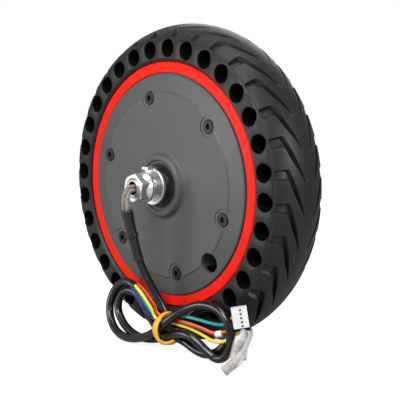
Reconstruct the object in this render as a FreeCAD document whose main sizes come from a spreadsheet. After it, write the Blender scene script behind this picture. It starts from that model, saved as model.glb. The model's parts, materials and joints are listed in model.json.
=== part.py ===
"""Hub motor wheel: an outer-rotor motor inside a solid honeycomb tyre, with its cable tied in a hank.

Frame, in millimetres: the origin is the wheel's centre, +Y runs along the axle, +Z is up and +X is
sideways. The cable leaves the axle on the -Y side, which is called near; the +Y side is called far.
The stator is fixed to the axle, and the shell, cover, rings, magnets and tyre turn round it.
"""
import FreeCAD, Part
import math
import os

import Sketcher

Vector = FreeCAD.Vector
doc = FreeCAD.newDocument("hub_motor_wheel")
parts = []

# Every driving dimension: its name, its value (mm, degrees or a count) and what it is.
DIMENSIONS = [
    ("tyre_radius", 106.8, "outside of the tyre"),
    ("crown_radius", 29.5, "radius of the tread's crown across the tyre"),
    ("sidewall_half", 22.7, "half width of the tyre at its flat sidewall"),
    ("shoulder_round", 3.2, "radius of the corner between crown and sidewall"),
    ("tyre_seat_radius", 75, "rim bed that the tyre sits on"),
    ("honeycomb_circle", 90, "circle of the holes through the tyre"),
    ("honeycomb_hole", 5.9, "radius of one hole through the tyre"),
    ("honeycomb_count", 32, "holes through the tyre"),
    ("honeycomb_phase", 2.3, "angle of the first hole from the top"),
    ("ring_outer", 81.7, "outside of a rim ring"),
    ("ring_inner", 74.2, "inside of a rim ring"),
    ("ring_face", 21.1, "outer face of a rim ring"),
    ("ring_back", 17, "inner face of a rim ring"),
    ("cover_radius", 73.5, "outside of the cover"),
    ("cover_face", 24.4, "outer face of the cover's raised disc"),
    ("cover_edge", 22.2, "outer face of the cover at its edge"),
    ("cover_back", 20.3, "inner face of the cover and of the shell's wall"),
    ("disc_radius", 61, "raised disc of the cover"),
    ("boss_radius", 20.7, "bearing boss"),
    ("boss_face", 28.4, "outer face of the bearing boss"),
    ("screw_circle", 58.9, "circle of the cover screws"),
    ("screw_count", 6, "cover screws"),
    ("screw_phase", -12.9, "angle of the first cover screw from the top"),
    ("screw_radius", 2.45, "cover screw thread"),
    ("screw_length", 12, "cover screw under its head"),
    ("screw_head_radius", 4.2, "cover screw head"),
    ("screw_head_height", 2.4, "cover screw head"),
    ("screw_socket", 1.7, "half width of the screw's hexagon socket"),
    ("counterbore_radius", 4.6, "recess round a screw head"),
    ("counterbore_floor", 21.9, "floor of the recess round a screw head"),
    ("dish_radius", 6.8, "shallow dish round each recess"),
    ("dish_depth", 0.5, "shallow dish round each recess"),
    ("valve_circle", 63.7, "circle that the valve hole lies on"),
    ("valve_hole", 6.5, "radius of the valve access hole"),
    ("valve_angle", 136.6, "angle of the valve hole from the top"),
    ("drum_inner", 54.5, "bore of the shell's drum"),
    ("drum_outer", 62.5, "outside of the shell's drum"),
    ("rim_inner", 70.5, "inside of the rim bed"),
    ("rib_count", 12, "ribs between drum and rim bed"),
    ("rib_thickness", 3, "one rib"),
    ("gasket_thickness", 0.6, "gasket between drum and cover"),
    ("flux_inner", 50, "bore of the steel flux ring"),
    ("magnet_inner", 47.1, "face of the magnets"),
    ("magnet_half", 13, "half length of a magnet"),
    ("magnet_count", 30, "magnets"),
    ("magnet_angle", 10.8, "angle that one magnet spans"),
    ("stator_radius", 46.4, "outside of the stator"),
    ("stator_bore", 27, "bore of the stator"),
    ("stator_half", 12, "half length of the laminations"),
    ("slot_count", 27, "stator slots"),
    ("slot_mouth", 0.8, "half width of a slot's mouth"),
    ("slot_top", 44.2, "where a slot starts to narrow"),
    ("slot_floor", 34, "floor of a slot"),
    ("slot_half_out", 3.2, "half width of a slot near the air gap"),
    ("slot_half_in", 2.1, "half width of a slot at its floor"),
    ("insulator", 0.8, "plastic plate on each end of the laminations"),
    ("coil_inner", 35, "innermost winding"),
    ("coil_outer", 43.4, "outermost winding"),
    ("coil_thickness", 1.7, "winding on each side of a tooth"),
    ("coil_overhang", 3.6, "winding past the insulator"),
    ("tooth_half", 1.95, "half width of the window inside a coil"),
    ("support_half", 9, "half length of the stator support"),
    ("support_hole", 4.6, "radius of a lightening hole in the support"),
    ("support_circle", 19, "circle of the lightening holes"),
    ("support_holes", 6, "lightening holes"),
    ("axle_half", 50, "half length of the axle"),
    ("axle_core", 10, "axle radius in the stator support"),
    ("axle_shoulder", 8, "axle radius against the bearings"),
    ("axle_radius", 6, "axle ends, M12"),
    ("axle_bore", 4.4, "bore of the axle on the cable side"),
    ("thread_start", 30, "where the thread starts"),
    ("thread_pitch", 1.25, "thread pitch"),
    ("thread_depth", 0.7, "thread depth"),
    ("key_half", 2, "half width of the stator key"),
    ("key_top", 12, "outer face of the stator key"),
    ("key_seat", 8.4, "inner face of the stator key"),
    ("key_reach", 8, "half length of the stator key"),
    ("bearing_in", 16.5, "inner side of a bearing"),
    ("bearing_out", 24.5, "outer side of a bearing"),
    ("bearing_outer", 14, "outside of a bearing"),
    ("bearing_pitch", 10, "circle of the bearing balls"),
    ("ball_radius", 2.36, "bearing ball"),
    ("race_radius", 2.45, "groove of a bearing ring"),
    ("ball_count", 8, "balls in a bearing"),
    ("outer_land", 12, "shoulder of the outer bearing ring"),
    ("inner_land", 8, "shoulder of the inner bearing ring"),
    ("seal_outer", 15, "outside of the shaft seal"),
    ("seal_gap", 0.06, "running clearance of the shaft seal"),
    ("seal_in", 25.4, "inner side of the shaft seal"),
    ("seal_out", 27.2, "outer side of the shaft seal"),
    ("washer_in", 32.1, "inner face of the tab washer"),
    ("washer_out", 34.1, "outer face of the tab washer"),
    ("washer_radius", 12.2, "tab washer"),
    ("tab_half", 3, "half width of the washer's tab"),
    ("tab_reach", 39.4, "end of the washer's tab"),
    ("tab_low", 11.2, "under side of the washer's tab"),
    ("tab_high", 13.1, "upper side of the washer's tab"),
    ("nut_in", 40, "flange face of the axle nut"),
    ("nut_flange", 41.4, "outer edge of the nut's flange"),
    ("nut_neck", 45, "where the nut's flange meets its hexagon"),
    ("nut_out", 49.5, "outer face of the axle nut"),
    ("flange_radius", 10.3, "axle nut's flange"),
    ("hexagon_half", 8.5, "half the width across the nut's flats"),
    ("hexagon_phase", 10.5, "angle of one corner of the nut from the top"),
    ("lead_radius", 3, "bundle of sleeved leads"),
    ("inner_lead_radius", 2.4, "leads inside the motor"),
    ("cable_radius", 2.8, "cable jacket"),
    ("shrink_radius", 3.65, "first heat-shrink sleeve"),
    ("shrink_end_radius", 3.35, "second heat-shrink sleeve"),
    ("shrink_start", 10.5, "where the first heat-shrink starts, along the lead"),
    ("jacket_start", 25, "where the jacket starts, along the lead"),
    ("shrink_middle", 29.5, "where the second heat-shrink starts, along the lead"),
    ("shrink_end", 45.5, "where the second heat-shrink ends, along the lead"),
    ("lobe_thickness", 8.4, "thickness of a loop of the hank"),
    ("waist_x", 18, "where the tie holds the hank"),
    ("waist_y", -36.5, "middle of the hank at its tie"),
    ("waist_z", -92, "middle of the hank at its tie"),
    ("waist_half_y", 6.8, "half thickness of the hank at its tie"),
    ("waist_half_z", 9.6, "half height of the hank at its tie"),
    ("waist_half_x", 8, "half length of the gathered stretch at the tie"),
    ("tie_thickness", 1.6, "cable tie"),
    ("tie_half", 1.7, "half width of the cable tie"),
    ("phase_radius", 1.1, "phase wire"),
    ("hall_radius", 1.4, "bundle of sensor wires"),
    ("boot_outer", 3.6, "clear terminal sleeve"),
    ("boot_wall", 0.6, "clear terminal sleeve"),
    ("boot_length", 12, "clear terminal sleeve"),
    ("socket_outer", 2.6, "bullet socket"),
    ("socket_bore", 2, "bore of a bullet socket"),
    ("socket_length", 7.5, "bullet socket"),
    ("socket_inset", 1.5, "mouth of a bullet socket inside its sleeve"),
    ("crimp_radius", 1.6, "crimp behind a bullet socket"),
    ("plug_row", 12.4, "sensor connector along its row of ways"),
    ("plug_length", 9.6, "sensor connector from wires to mouth"),
    ("plug_thickness", 5.8, "sensor connector"),
    ("plug_ways", 5, "ways of the sensor connector"),
    ("plug_pitch", 2.5, "pitch of the ways"),
    ("way_half", 0.75, "half width of one way"),
    ("contact_half", 0.55, "half width of one contact"),
    ("collar_radius", 2.2, "white collar round the sensor wires"),
    ("collar_start", 30.5, "where the collar starts, along the sensor wires"),
    ("collar_length", 5, "collar round the sensor wires"),
    ("board_inner", 30, "inside of the sensor board"),
    ("board_outer", 46, "outside of the sensor board"),
    ("board_face", 18.4, "outer face of the sensor board"),
    ("board_thickness", 1.2, "sensor board"),
    ("board_half_angle", 42, "half the angle that the sensor board spans"),
    ("sensor_count", 3, "Hall sensors"),
    ("sensor_step", 2, "slots from one Hall sensor to the next"),
    ("sensor_half", 2.05, "half width of a Hall sensor"),
    ("sensor_length", 3.5, "Hall sensor"),
    ("sensor_inner", 44.2, "inner side of a Hall sensor"),
    ("sensor_outer", 45.7, "outer side of a Hall sensor"),
    ("cage_half", 3, "half width of a bearing cage"),
    ("cage_thickness", 0.8, "half the thickness of a bearing cage"),
    ("pocket_gap", 0.06, "clearance of a ball in its cage"),
    ("shield_place", 3.6, "middle of a shield from the middle of its bearing"),
    ("shield_half", 0.25, "half the thickness of a shield"),
    ("shield_gap", 0.15, "clearance of a shield over the inner ring"),
]


class Size:
    """A dimension that keeps its number together with the sheet expression it comes from."""

    def __init__(self, value, text):
        self.value = value
        self.text = text

    def __add__(self, other):
        other = as_size(other)
        return Size(self.value + other.value, f"({self.text} + {other.text})")

    def __sub__(self, other):
        other = as_size(other)
        return Size(self.value - other.value, f"({self.text} - {other.text})")

    def __mul__(self, other):
        other = as_size(other)
        return Size(self.value * other.value, f"({self.text} * {other.text})")

    def __truediv__(self, other):
        other = as_size(other)
        return Size(self.value / other.value, f"({self.text} / {other.text})")

    def __neg__(self):
        return Size(-self.value, f"(-{self.text})")

    def __float__(self):
        return float(self.value)


def as_size(value):
    """A plain number as a Size; a Size as it is."""
    if isinstance(value, Size):
        return value
    return Size(value, repr(value) if value >= 0 else f"({value!r})")


def root(value):
    """The square root of a Size."""
    return Size(math.sqrt(value.value), f"sqrt({value.text})")


class Sheet:
    """The spreadsheet of driving dimensions, each read as an attribute."""

    def __init__(self):
        table = doc.addObject("Spreadsheet::Sheet", "dims")
        for row, (name, value, meaning) in enumerate(DIMENSIONS, start=1):
            table.set(f"A{row}", name)
            table.set(f"B{row}", str(value))
            table.set(f"C{row}", meaning)
            table.setAlias(f"B{row}", name)
            setattr(self, name, Size(value, f"dims.{name}"))


dims = Sheet()
doc.recompute()


# ---------------------------------------------------------------- sketches, bodies and features


def keep(thing, label):
    """Name a finished sub-part, which is then checked and exported."""
    thing.Label = label
    parts.append(thing)
    return thing


def bind(thing, name, value):
    """Set a property from the sheet."""
    value = as_size(value)
    setattr(thing, name, value.value)
    thing.setExpression(name, value.text)


def sketch_on(body, name, role, offset=0):
    """A sketch on one of the body's origin planes, moved along that plane's normal."""
    sketch = body.newObject("Sketcher::SketchObject", name)
    plane = next(f for f in body.Origin.OriginFeatures if f.Role == role)
    sketch.AttachmentSupport = [(plane, "")]
    sketch.MapMode = "FlatFace"
    offset = as_size(offset)
    sketch.AttachmentOffset = FreeCAD.Placement(Vector(0, 0, offset.value), FreeCAD.Rotation())
    sketch.setExpression("AttachmentOffset.Base.z", offset.text)
    return sketch


def pin(sketch, geometry, position, across, up):
    """Hold one point of a sketch at a place worked out from the sheet."""
    for kind, axis, value in (("DistanceX", -2, across), ("DistanceY", -1, up)):
        value = as_size(value)
        if value.value == 0:
            sketch.addConstraint(Sketcher.Constraint("PointOnObject", geometry, position, axis))
        else:
            rule = Sketcher.Constraint(kind, -1, 1, geometry, position, value.value)
            number = sketch.addConstraint(rule)
            sketch.setExpression(f"Constraints[{number}]", value.text)


def arc_centre(start, end, radius, left):
    """The centre of the minor arc between two points, to the left or right of the way from start to end."""
    middle = (start + end) / 2
    way = end - start
    side = Vector(-way.y, way.x, 0).normalize()
    height = math.sqrt(radius**2 - way.Length**2 / 4)
    return middle + side * (height if left else -height)


def outline(sketch, corners):
    """A closed outline of (across, up) corners, or (across, up, radius, left) where an arc leaves one."""
    first = sketch.GeometryCount
    places = [Vector(float(c[0]), float(c[1]), 0) for c in corners]
    starts = []
    ends = []
    arcs = []
    for number, corner in enumerate(corners):
        here = places[number]
        there = places[(number + 1) % len(corners)]
        if len(corner) == 2:
            sketch.addGeometry(Part.LineSegment(here, there), False)
            starts.append(1)
            ends.append(2)
            continue
        radius, left = as_size(corner[2]), corner[3]
        centre = arc_centre(here, there, radius.value, left)
        begin, finish = (here, there) if left else (there, here)
        angles = [math.atan2((p - centre).y, (p - centre).x) for p in (begin, finish)]
        if angles[1] < angles[0]:
            angles[1] += 2 * math.pi
        circle = Part.Circle(centre, Vector(0, 0, 1), radius.value)
        sketch.addGeometry(Part.ArcOfCircle(circle, *angles), False)
        starts.append(1 if left else 2)
        ends.append(2 if left else 1)
        arcs.append((first + number, radius))
    for number in range(len(corners)):
        after = (number + 1) % len(corners)
        join = ("Coincident", first + number, ends[number], first + after, starts[after])
        sketch.addConstraint(Sketcher.Constraint(*join))
    for number, corner in enumerate(corners):
        pin(sketch, first + number, starts[number], corner[0], corner[1])
    for geometry, radius in arcs:
        number = sketch.addConstraint(Sketcher.Constraint("Radius", geometry, radius.value))
        sketch.setExpression(f"Constraints[{number}]", radius.text)


def circle(sketch, radius, across=0, up=0):
    """A circle whose radius and centre come from the sheet."""
    radius, across, up = as_size(radius), as_size(across), as_size(up)
    middle = Vector(across.value, up.value, 0)
    geometry = sketch.addGeometry(Part.Circle(middle, Vector(0, 0, 1), radius.value), False)
    number = sketch.addConstraint(Sketcher.Constraint("Radius", geometry, radius.value))
    sketch.setExpression(f"Constraints[{number}]", radius.text)
    pin(sketch, geometry, 3, across, up)


def rectangle(sketch, left, right, low, high):
    """An upright rectangle."""
    outline(sketch, [(left, low), (right, low), (right, high), (left, high)])


def sector(sketch, inner, outer, angle, half):
    """A piece of a ring round the axle, from angle - half to angle + half."""
    before = as_size(angle) - half
    after = as_size(angle) + half
    outline(
        sketch,
        [
            (*at_angle(outer, before), outer, False),
            at_angle(outer, after),
            (*at_angle(inner, after), inner, True),
            at_angle(inner, before),
        ],
    )


def new_body(label):
    """An empty body that will be one sub-part, of one solid or of separate ones as a bearing's balls."""
    body = keep(doc.addObject("PartDesign::Body", label), label)
    body.AllowCompound = True
    return body


def revolve(body, name, outlines, kind="PartDesign::Revolution"):
    """Turn outlines about the axle; each corner is (radius, place along Y) and may start an arc."""
    sketch = sketch_on(body, name + "_section", "XY_Plane")
    for corners in outlines:
        outline(sketch, corners)
    doc.recompute()
    turn = body.newObject(kind, name)
    turn.Profile = sketch
    turn.ReferenceAxis = (sketch, ["V_Axis"])
    turn.Angle = 360
    body.Tip = turn
    doc.recompute()
    return turn


def turned(label, *outlines):
    """A body turned about the axle."""
    body = new_body(label)
    revolve(body, label + "_turn", outlines)
    return body


def pad(body, name, sketch, length, reversed_way=False):
    """Add material from a sketch, along its normal or against it."""
    feature = body.newObject("PartDesign::Pad", name)
    feature.Profile = sketch
    bind(feature, "Length", length)
    feature.Reversed = reversed_way
    body.Tip = feature
    doc.recompute()
    return feature


def pocket(body, name, sketch, depth, reversed_way=False):
    """Cut a sketch into the body, and stop if nothing was cut."""
    before = body.Shape.Volume
    feature = body.newObject("PartDesign::Pocket", name)
    feature.Profile = sketch
    bind(feature, "Length", depth)
    feature.Reversed = reversed_way
    body.Tip = feature
    doc.recompute()
    if not body.Shape.Volume < before - 1e-6:
        raise RuntimeError(f"{name} cut nothing")
    return feature


def polar(body, name, features, count, angle=360):
    """Repeat features round the body's Y axis."""
    axis = next(f for f in body.Origin.OriginFeatures if f.Role == "Y_Axis")
    count = as_size(count)
    angle = as_size(angle)
    pattern = body.newObject("PartDesign::PolarPattern", name)
    pattern.Originals = features
    pattern.Axis = (axis, [""])
    pattern.Angle = angle.value
    pattern.setExpression("Angle", angle.text)
    pattern.Occurrences = round(count.value)
    pattern.setExpression("Occurrences", count.text)
    body.Tip = pattern
    doc.recompute()
    return pattern


def polar_place(radius, degrees_text, degrees):
    """The across and up places of a point at an angle clockwise from the top, seen from the near side."""
    angle = math.radians(degrees)
    across = Size(radius.value * math.sin(angle), f"({radius.text} * sin({degrees_text} * 1 deg))")
    up = Size(radius.value * math.cos(angle), f"({radius.text} * cos({degrees_text} * 1 deg))")
    return across, up


def at_angle(radius, angle):
    """polar_place for an angle kept as a Size."""
    angle = as_size(angle)
    return polar_place(radius, angle.text, angle.value)


def solid_part(label, shape):
    """A sub-part whose shape is made with Part's own functions."""
    feature = doc.addObject("Part::Feature", label)
    feature.Shape = shape
    return keep(feature, label)


def facing(sign):
    """True where a feature on an XZ sketch must run against the sketch's normal to leave the wheel's middle."""
    return sign > 0


def side_pair():
    """The near side and the far side, with the sign of Y on each."""
    return (("near", -1), ("far", 1))


# ---------------------------------------------------------------- the turning side: tyre and rings


def tyre():
    """Solid rubber tyre: a crowned tread, flat sidewalls and a ring of holes right through."""
    d = dims
    middle = d.tyre_radius - d.crown_radius
    round_place = d.sidewall_half - d.shoulder_round
    round_reach = d.crown_radius - d.shoulder_round
    round_height = root(round_reach * round_reach - round_place * round_place)
    scale = d.crown_radius / round_reach
    crown_end = middle + round_height * scale
    crown_half = round_place * scale
    sidewall_end = middle + round_height
    ring_clear = d.ring_outer + 0.2
    lip = d.ring_face + 0.2
    chamfer = ring_clear + 1.6
    body = turned(
        "tyre",
        [
            (d.tyre_seat_radius, -d.ring_back),
            (ring_clear, -d.ring_back),
            (ring_clear, -lip),
            (chamfer, -d.sidewall_half),
            (sidewall_end, -d.sidewall_half, d.shoulder_round, True),
            (crown_end, -crown_half, d.crown_radius, True),
            (crown_end, crown_half, d.shoulder_round, True),
            (sidewall_end, d.sidewall_half),
            (chamfer, d.sidewall_half),
            (ring_clear, lip),
            (ring_clear, d.ring_back),
            (d.tyre_seat_radius, d.ring_back),
        ],
    )
    sketch = sketch_on(body, "tyre_hole_sketch", "XZ_Plane", d.tyre_radius / 4)
    circle(sketch, d.honeycomb_hole, *at_angle(d.honeycomb_circle, d.honeycomb_phase))
    hole = pocket(body, "tyre_hole", sketch, d.tyre_radius / 2)
    polar(body, "tyre_holes", [hole], d.honeycomb_count)


def rim_ring(side, sign):
    """Coloured ring between the tyre and the cover, with its outer edge rounded."""
    d = dims
    edge = 1.3
    face = d.ring_face * sign
    back = d.ring_back * sign
    turned(
        f"rim_ring_{side}",
        [
            (d.ring_inner, back),
            (d.ring_outer, back),
            (d.ring_outer, face - edge * sign, edge, sign > 0),
            (d.ring_outer - edge, face),
            (d.ring_inner + 0.5, face),
            (d.ring_inner, face - 0.5 * sign),
        ],
    )


def boss_corners(sign):
    """The wall of a bearing boss from its bearing seat outwards to the flat of the cover or shell."""
    d = dims
    seat_lip = d.bearing_outer - 1
    return [
        (d.bearing_outer, d.bearing_in * sign),
        (d.bearing_outer, d.bearing_out * sign),
        (seat_lip, d.bearing_out * sign),
        (seat_lip, d.seal_in * sign),
        (d.seal_outer, d.seal_in * sign),
        (d.seal_outer, (d.seal_out - 0.2) * sign),
        (d.seal_outer + 1.6, (d.seal_out - 0.2) * sign),
        (d.boss_radius - 3.8, (d.boss_face - 0.3) * sign),
        (d.boss_radius - 3, d.boss_face * sign),
        (d.boss_radius - 1.8, d.boss_face * sign, 1.8, sign < 0),
        (d.boss_radius, (d.boss_face - 1.8) * sign),
        (d.boss_radius + 0.4, (d.cover_face + 1.6) * sign, 1.6, sign > 0),
        (d.boss_radius + 2, d.cover_face * sign),
    ]


def disc_corners(sign, edge_radius):
    """The face from the raised disc down to the outer edge."""
    d = dims
    return [
        (d.disc_radius, d.cover_face * sign),
        (d.disc_radius + 1.1, (d.cover_face - 0.7) * sign),
        (edge_radius - 1, d.cover_edge * sign, 1, sign < 0),
        (edge_radius, (d.cover_edge - 1) * sign),
    ]


def cover():
    """Screwed cover on the cable side, with its bearing boss, screw recesses and valve access hole."""
    d = dims
    hub_wall = d.bearing_outer + 5
    spigot = d.drum_inner - 0.1
    spigot_end = d.cover_back - 1.5
    body = turned(
        "cover",
        boss_corners(-1)
        + disc_corners(-1, d.cover_radius)
        + [
            (d.cover_radius, -d.cover_back),
            (spigot, -d.cover_back),
            (spigot, -spigot_end),
            (spigot - 2.4, -spigot_end),
            (spigot - 2.4, -d.cover_back),
            (hub_wall, -d.cover_back),
            (hub_wall, -d.bearing_in),
        ],
    )
    place = at_angle(d.screw_circle, d.screw_phase)
    dish = sketch_on(body, "dish_sketch", "XZ_Plane", d.cover_face)
    circle(dish, d.dish_radius, *place)
    dish_cut = pocket(body, "dish", dish, d.dish_depth)
    recess = sketch_on(body, "recess_sketch", "XZ_Plane", d.cover_face)
    circle(recess, d.counterbore_radius, *place)
    recess_cut = pocket(body, "recess", recess, d.cover_face - d.counterbore_floor)
    through = sketch_on(body, "clearance_sketch", "XZ_Plane", d.cover_face)
    circle(through, d.screw_radius + 0.25, *place)
    through_cut = pocket(body, "clearance", through, d.cover_face)
    polar(body, "screw_seats", [dish_cut, recess_cut, through_cut], d.screw_count)
    valve = sketch_on(body, "valve_sketch", "XZ_Plane", d.cover_face)
    circle(valve, d.valve_hole, *at_angle(d.valve_circle, d.valve_angle))
    pocket(body, "valve_access", valve, d.cover_face)


def cover_gasket():
    """Flat gasket between the cover and the drum, with holes for the screws."""
    d = dims
    inner = d.drum_inner + 0.3
    place = at_angle(d.screw_circle, d.screw_phase)
    body = new_body("cover_gasket")
    sheet = sketch_on(body, "gasket_sketch", "XZ_Plane", d.cover_back)
    circle(sheet, d.drum_outer)
    circle(sheet, inner)
    doc.recompute()
    pad(body, "gasket", sheet, d.gasket_thickness, True)
    hole = sketch_on(body, "gasket_hole_sketch", "XZ_Plane", d.cover_back)
    circle(hole, d.screw_radius + 0.25, *place)
    cut = pocket(body, "gasket_hole", hole, d.gasket_thickness)
    polar(body, "gasket_holes", [cut], d.screw_count)
    notch = sketch_on(body, "gasket_notch_sketch", "XZ_Plane", d.cover_back)
    circle(notch, d.valve_hole, *at_angle(d.valve_circle, d.valve_angle))
    pocket(body, "gasket_notch", notch, d.gasket_thickness)


def hub_shell():
    """Aluminium shell: far wall with its bearing boss, drum for the magnets, ribs and rim bed."""
    d = dims
    hub_wall = d.bearing_outer + 5
    drum_face = d.cover_back - d.gasket_thickness
    pit = d.ring_back - 1
    body = turned(
        "hub_shell",
        boss_corners(1)
        + disc_corners(1, d.ring_inner)
        + [
            (d.ring_inner, d.ring_back),
            (d.tyre_seat_radius, d.ring_back),
            (d.tyre_seat_radius, -d.ring_back),
            (d.ring_inner, -d.ring_back),
            (d.ring_inner, -d.cover_back),
            (d.rim_inner, -d.cover_back),
            (d.rim_inner, pit),
            (d.drum_outer, pit),
            (d.drum_outer, -drum_face),
            (d.drum_inner, -drum_face),
            (d.drum_inner, d.cover_back),
            (hub_wall, d.cover_back),
            (hub_wall, d.bearing_in),
        ],
    )
    rib = sketch_on(body, "rib_sketch", "XZ_Plane", drum_face)
    half = d.rib_thickness / 2
    low = d.drum_outer - 1
    high = d.rim_inner + 1
    rectangle(rib, -half, half, low, high)
    rib_pad = pad(body, "rib", rib, drum_face + pit + 1, True)
    polar(body, "ribs", [rib_pad], d.rib_count)
    hole = sketch_on(body, "tapping_sketch", "XZ_Plane", drum_face)
    circle(hole, d.screw_radius + 0.05, *at_angle(d.screw_circle, d.screw_phase))
    tapping = pocket(body, "tapping", hole, d.screw_length)
    polar(body, "tappings", [tapping], d.screw_count)
    valve = sketch_on(body, "valve_pit_sketch", "XZ_Plane", drum_face)
    circle(valve, d.valve_hole + 0.2, *at_angle(d.valve_circle, d.valve_angle))
    pocket(body, "valve_pit", valve, d.ring_back)


def flux_ring():
    """Steel ring that closes the magnets' field."""
    d = dims
    reach = d.magnet_half + 1
    corners = [
        (d.flux_inner, -reach),
        (d.drum_inner, -reach),
        (d.drum_inner, reach),
        (d.flux_inner, reach),
    ]
    turned("flux_ring", corners)



def magnets(label, first):
    """Every second magnet of the ring, as one node of separate blocks."""
    d = dims
    body = new_body(label)
    section = sketch_on(body, label + "_sketch", "XZ_Plane", d.magnet_half)
    step = Size(360.0, "360") / d.magnet_count
    sector(section, d.magnet_inner, d.flux_inner - 0.02, step * first, d.magnet_angle / 2)
    doc.recompute()
    block = pad(body, label + "_block", section, d.magnet_half * 2, True)
    polar(body, label + "_ring", [block], d.magnet_count / 2)


def cover_screws():
    """Socket screws in the cover."""
    d = dims
    place = at_angle(d.screw_circle, d.screw_phase)
    body = new_body("cover_screws")
    head_sketch = sketch_on(body, "head_sketch", "XZ_Plane", d.counterbore_floor)
    circle(head_sketch, d.screw_head_radius, *place)
    doc.recompute()
    head = pad(body, "head", head_sketch, d.screw_head_height)
    shank_sketch = sketch_on(body, "shank_sketch", "XZ_Plane", d.counterbore_floor)
    circle(shank_sketch, d.screw_radius, *place)
    shank = pad(body, "shank", shank_sketch, d.screw_length, True)
    socket_sketch = sketch_on(body, "socket_sketch", "XZ_Plane", d.counterbore_floor + d.screw_head_height)
    reach = d.screw_socket / Size(math.cos(math.radians(30)), "cos(30 deg)")
    corners = []
    for number in range(6):
        across, up = polar_place(reach, str(60 * number), 60 * number)
        corners.append((place[0] + across, place[1] + up))
    outline(socket_sketch, corners)
    socket = pocket(body, "socket", socket_sketch, d.screw_head_height * 0.7)
    polar(body, "screw_ring", [head, shank, socket], d.screw_count)


# ---------------------------------------------------------------- bearings and seals


def bearing(side, sign):
    """One ball bearing as its rings, balls, cage and shields."""
    d = dims
    name = f"bearing_{side}"
    middle = (d.bearing_in + d.bearing_out) / 2 * sign
    near = d.bearing_in * sign
    away = d.bearing_out * sign
    outer_drop = d.outer_land - d.bearing_pitch
    inner_drop = d.bearing_pitch - d.inner_land
    outer_reach = root(d.race_radius * d.race_radius - outer_drop * outer_drop)
    inner_reach = root(d.race_radius * d.race_radius - inner_drop * inner_drop)
    turned(
        name + "_outer_ring",
        [
            (d.bearing_outer, near),
            (d.bearing_outer, away),
            (d.outer_land, away),
            (d.outer_land, middle + outer_reach * sign, d.race_radius, sign < 0),
            (d.outer_land, middle - outer_reach * sign),
            (d.outer_land, near),
        ],
    )
    turned(
        name + "_inner_ring",
        [
            (d.axle_radius, near),
            (d.inner_land, near),
            (d.inner_land, middle - inner_reach * sign, d.race_radius, sign < 0),
            (d.inner_land, middle + inner_reach * sign),
            (d.inner_land, away),
            (d.axle_radius, away),
        ],
    )
    balls = new_body(name + "_balls")
    ball = balls.newObject("PartDesign::AdditiveSphere", f"ball_{side}")
    bind(ball, "Radius", d.ball_radius)
    ball.Placement = FreeCAD.Placement(Vector(0, middle.value, d.bearing_pitch.value), FreeCAD.Rotation())
    ball.setExpression("Placement.Base.y", middle.text)
    ball.setExpression("Placement.Base.z", d.bearing_pitch.text)
    balls.Tip = ball
    doc.recompute()
    polar(balls, f"ball_ring_{side}", [ball], d.ball_count)
    inside = d.bearing_pitch - d.cage_thickness
    outside = d.bearing_pitch + d.cage_thickness
    cage = turned(
        name + "_cage",
        [
            (inside, middle - d.cage_half),
            (outside, middle - d.cage_half),
            (outside, middle + d.cage_half),
            (inside, middle + d.cage_half),
        ],
    )
    window = sketch_on(cage, f"cage_{side}_sketch", "XY_Plane")
    circle(window, d.ball_radius + d.pocket_gap, 0, middle)
    cut = pocket(cage, f"cage_{side}_window", window, d.bearing_outer, True)
    polar(cage, f"cage_{side}_windows", [cut], d.ball_count)
    shields = []
    for place in (-d.shield_place, d.shield_place):
        low = middle + place - d.shield_half
        high = middle + place + d.shield_half
        inner = d.inner_land + d.shield_gap
        shields.append([(inner, low), (d.outer_land, low), (d.outer_land, high), (inner, high)])
    turned(name + "_shields", *shields)


def seal(side, sign):
    """Rubber shaft seal in front of a bearing."""
    d = dims
    lip = d.inner_land + d.seal_gap
    turned(
        f"seal_{side}",
        [
            (lip, (d.seal_out - 0.3) * sign),
            (lip, (d.seal_in + 0.5) * sign),
            (lip + 1.2, d.seal_in * sign),
            (d.seal_outer, d.seal_in * sign),
            (d.seal_outer, d.seal_out * sign),
            (d.seal_outer - 1.4, d.seal_out * sign),
            (d.seal_outer - 2, (d.seal_out - 0.6) * sign),
            (lip + 1.8, (d.seal_out - 0.6) * sign),
            (lip + 1.2, d.seal_out * sign),
        ],
    )


# ---------------------------------------------------------------- the fixed side: axle and stator


def axle():
    """Hollow axle, threaded at both ends, bored from the cable side to a window inside the motor."""
    d = dims
    body = turned(
        "axle",
        [
            (d.axle_bore, -d.axle_half),
            (d.axle_radius - 0.5, -d.axle_half),
            (d.axle_radius, -(d.axle_half - 0.5)),
            (d.axle_radius, -d.bearing_in),
            (d.axle_shoulder, -d.bearing_in),
            (d.axle_shoulder, -d.support_half),
            (d.axle_core, -d.support_half),
            (d.axle_core, d.support_half),
            (d.axle_shoulder, d.support_half),
            (d.axle_shoulder, d.bearing_in),
            (d.axle_radius, d.bearing_in),
            (d.axle_radius, d.axle_half - 0.5),
            (d.axle_radius - 0.5, d.axle_half),
            (0, d.axle_half),
            (0, -d.support_half),
            (d.axle_bore, -d.support_half),
        ],
    )
    window = sketch_on(body, "window_sketch", "XY_Plane", 0)
    half = d.inner_lead_radius + 0.5
    low = -(d.bearing_in - 0.2)
    high = -(d.support_half + 0.6)
    rectangle(window, -half, half, low, high)
    pocket(body, "window", window, d.axle_core, True)
    keyway = sketch_on(body, "axle_keyway_sketch", "XZ_Plane", d.key_reach)
    outline(keyway, key_corners())
    pocket(body, "axle_keyway", keyway, d.key_reach * 2)
    for side, sign in side_pair():
        thread(body, side, sign)


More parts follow.
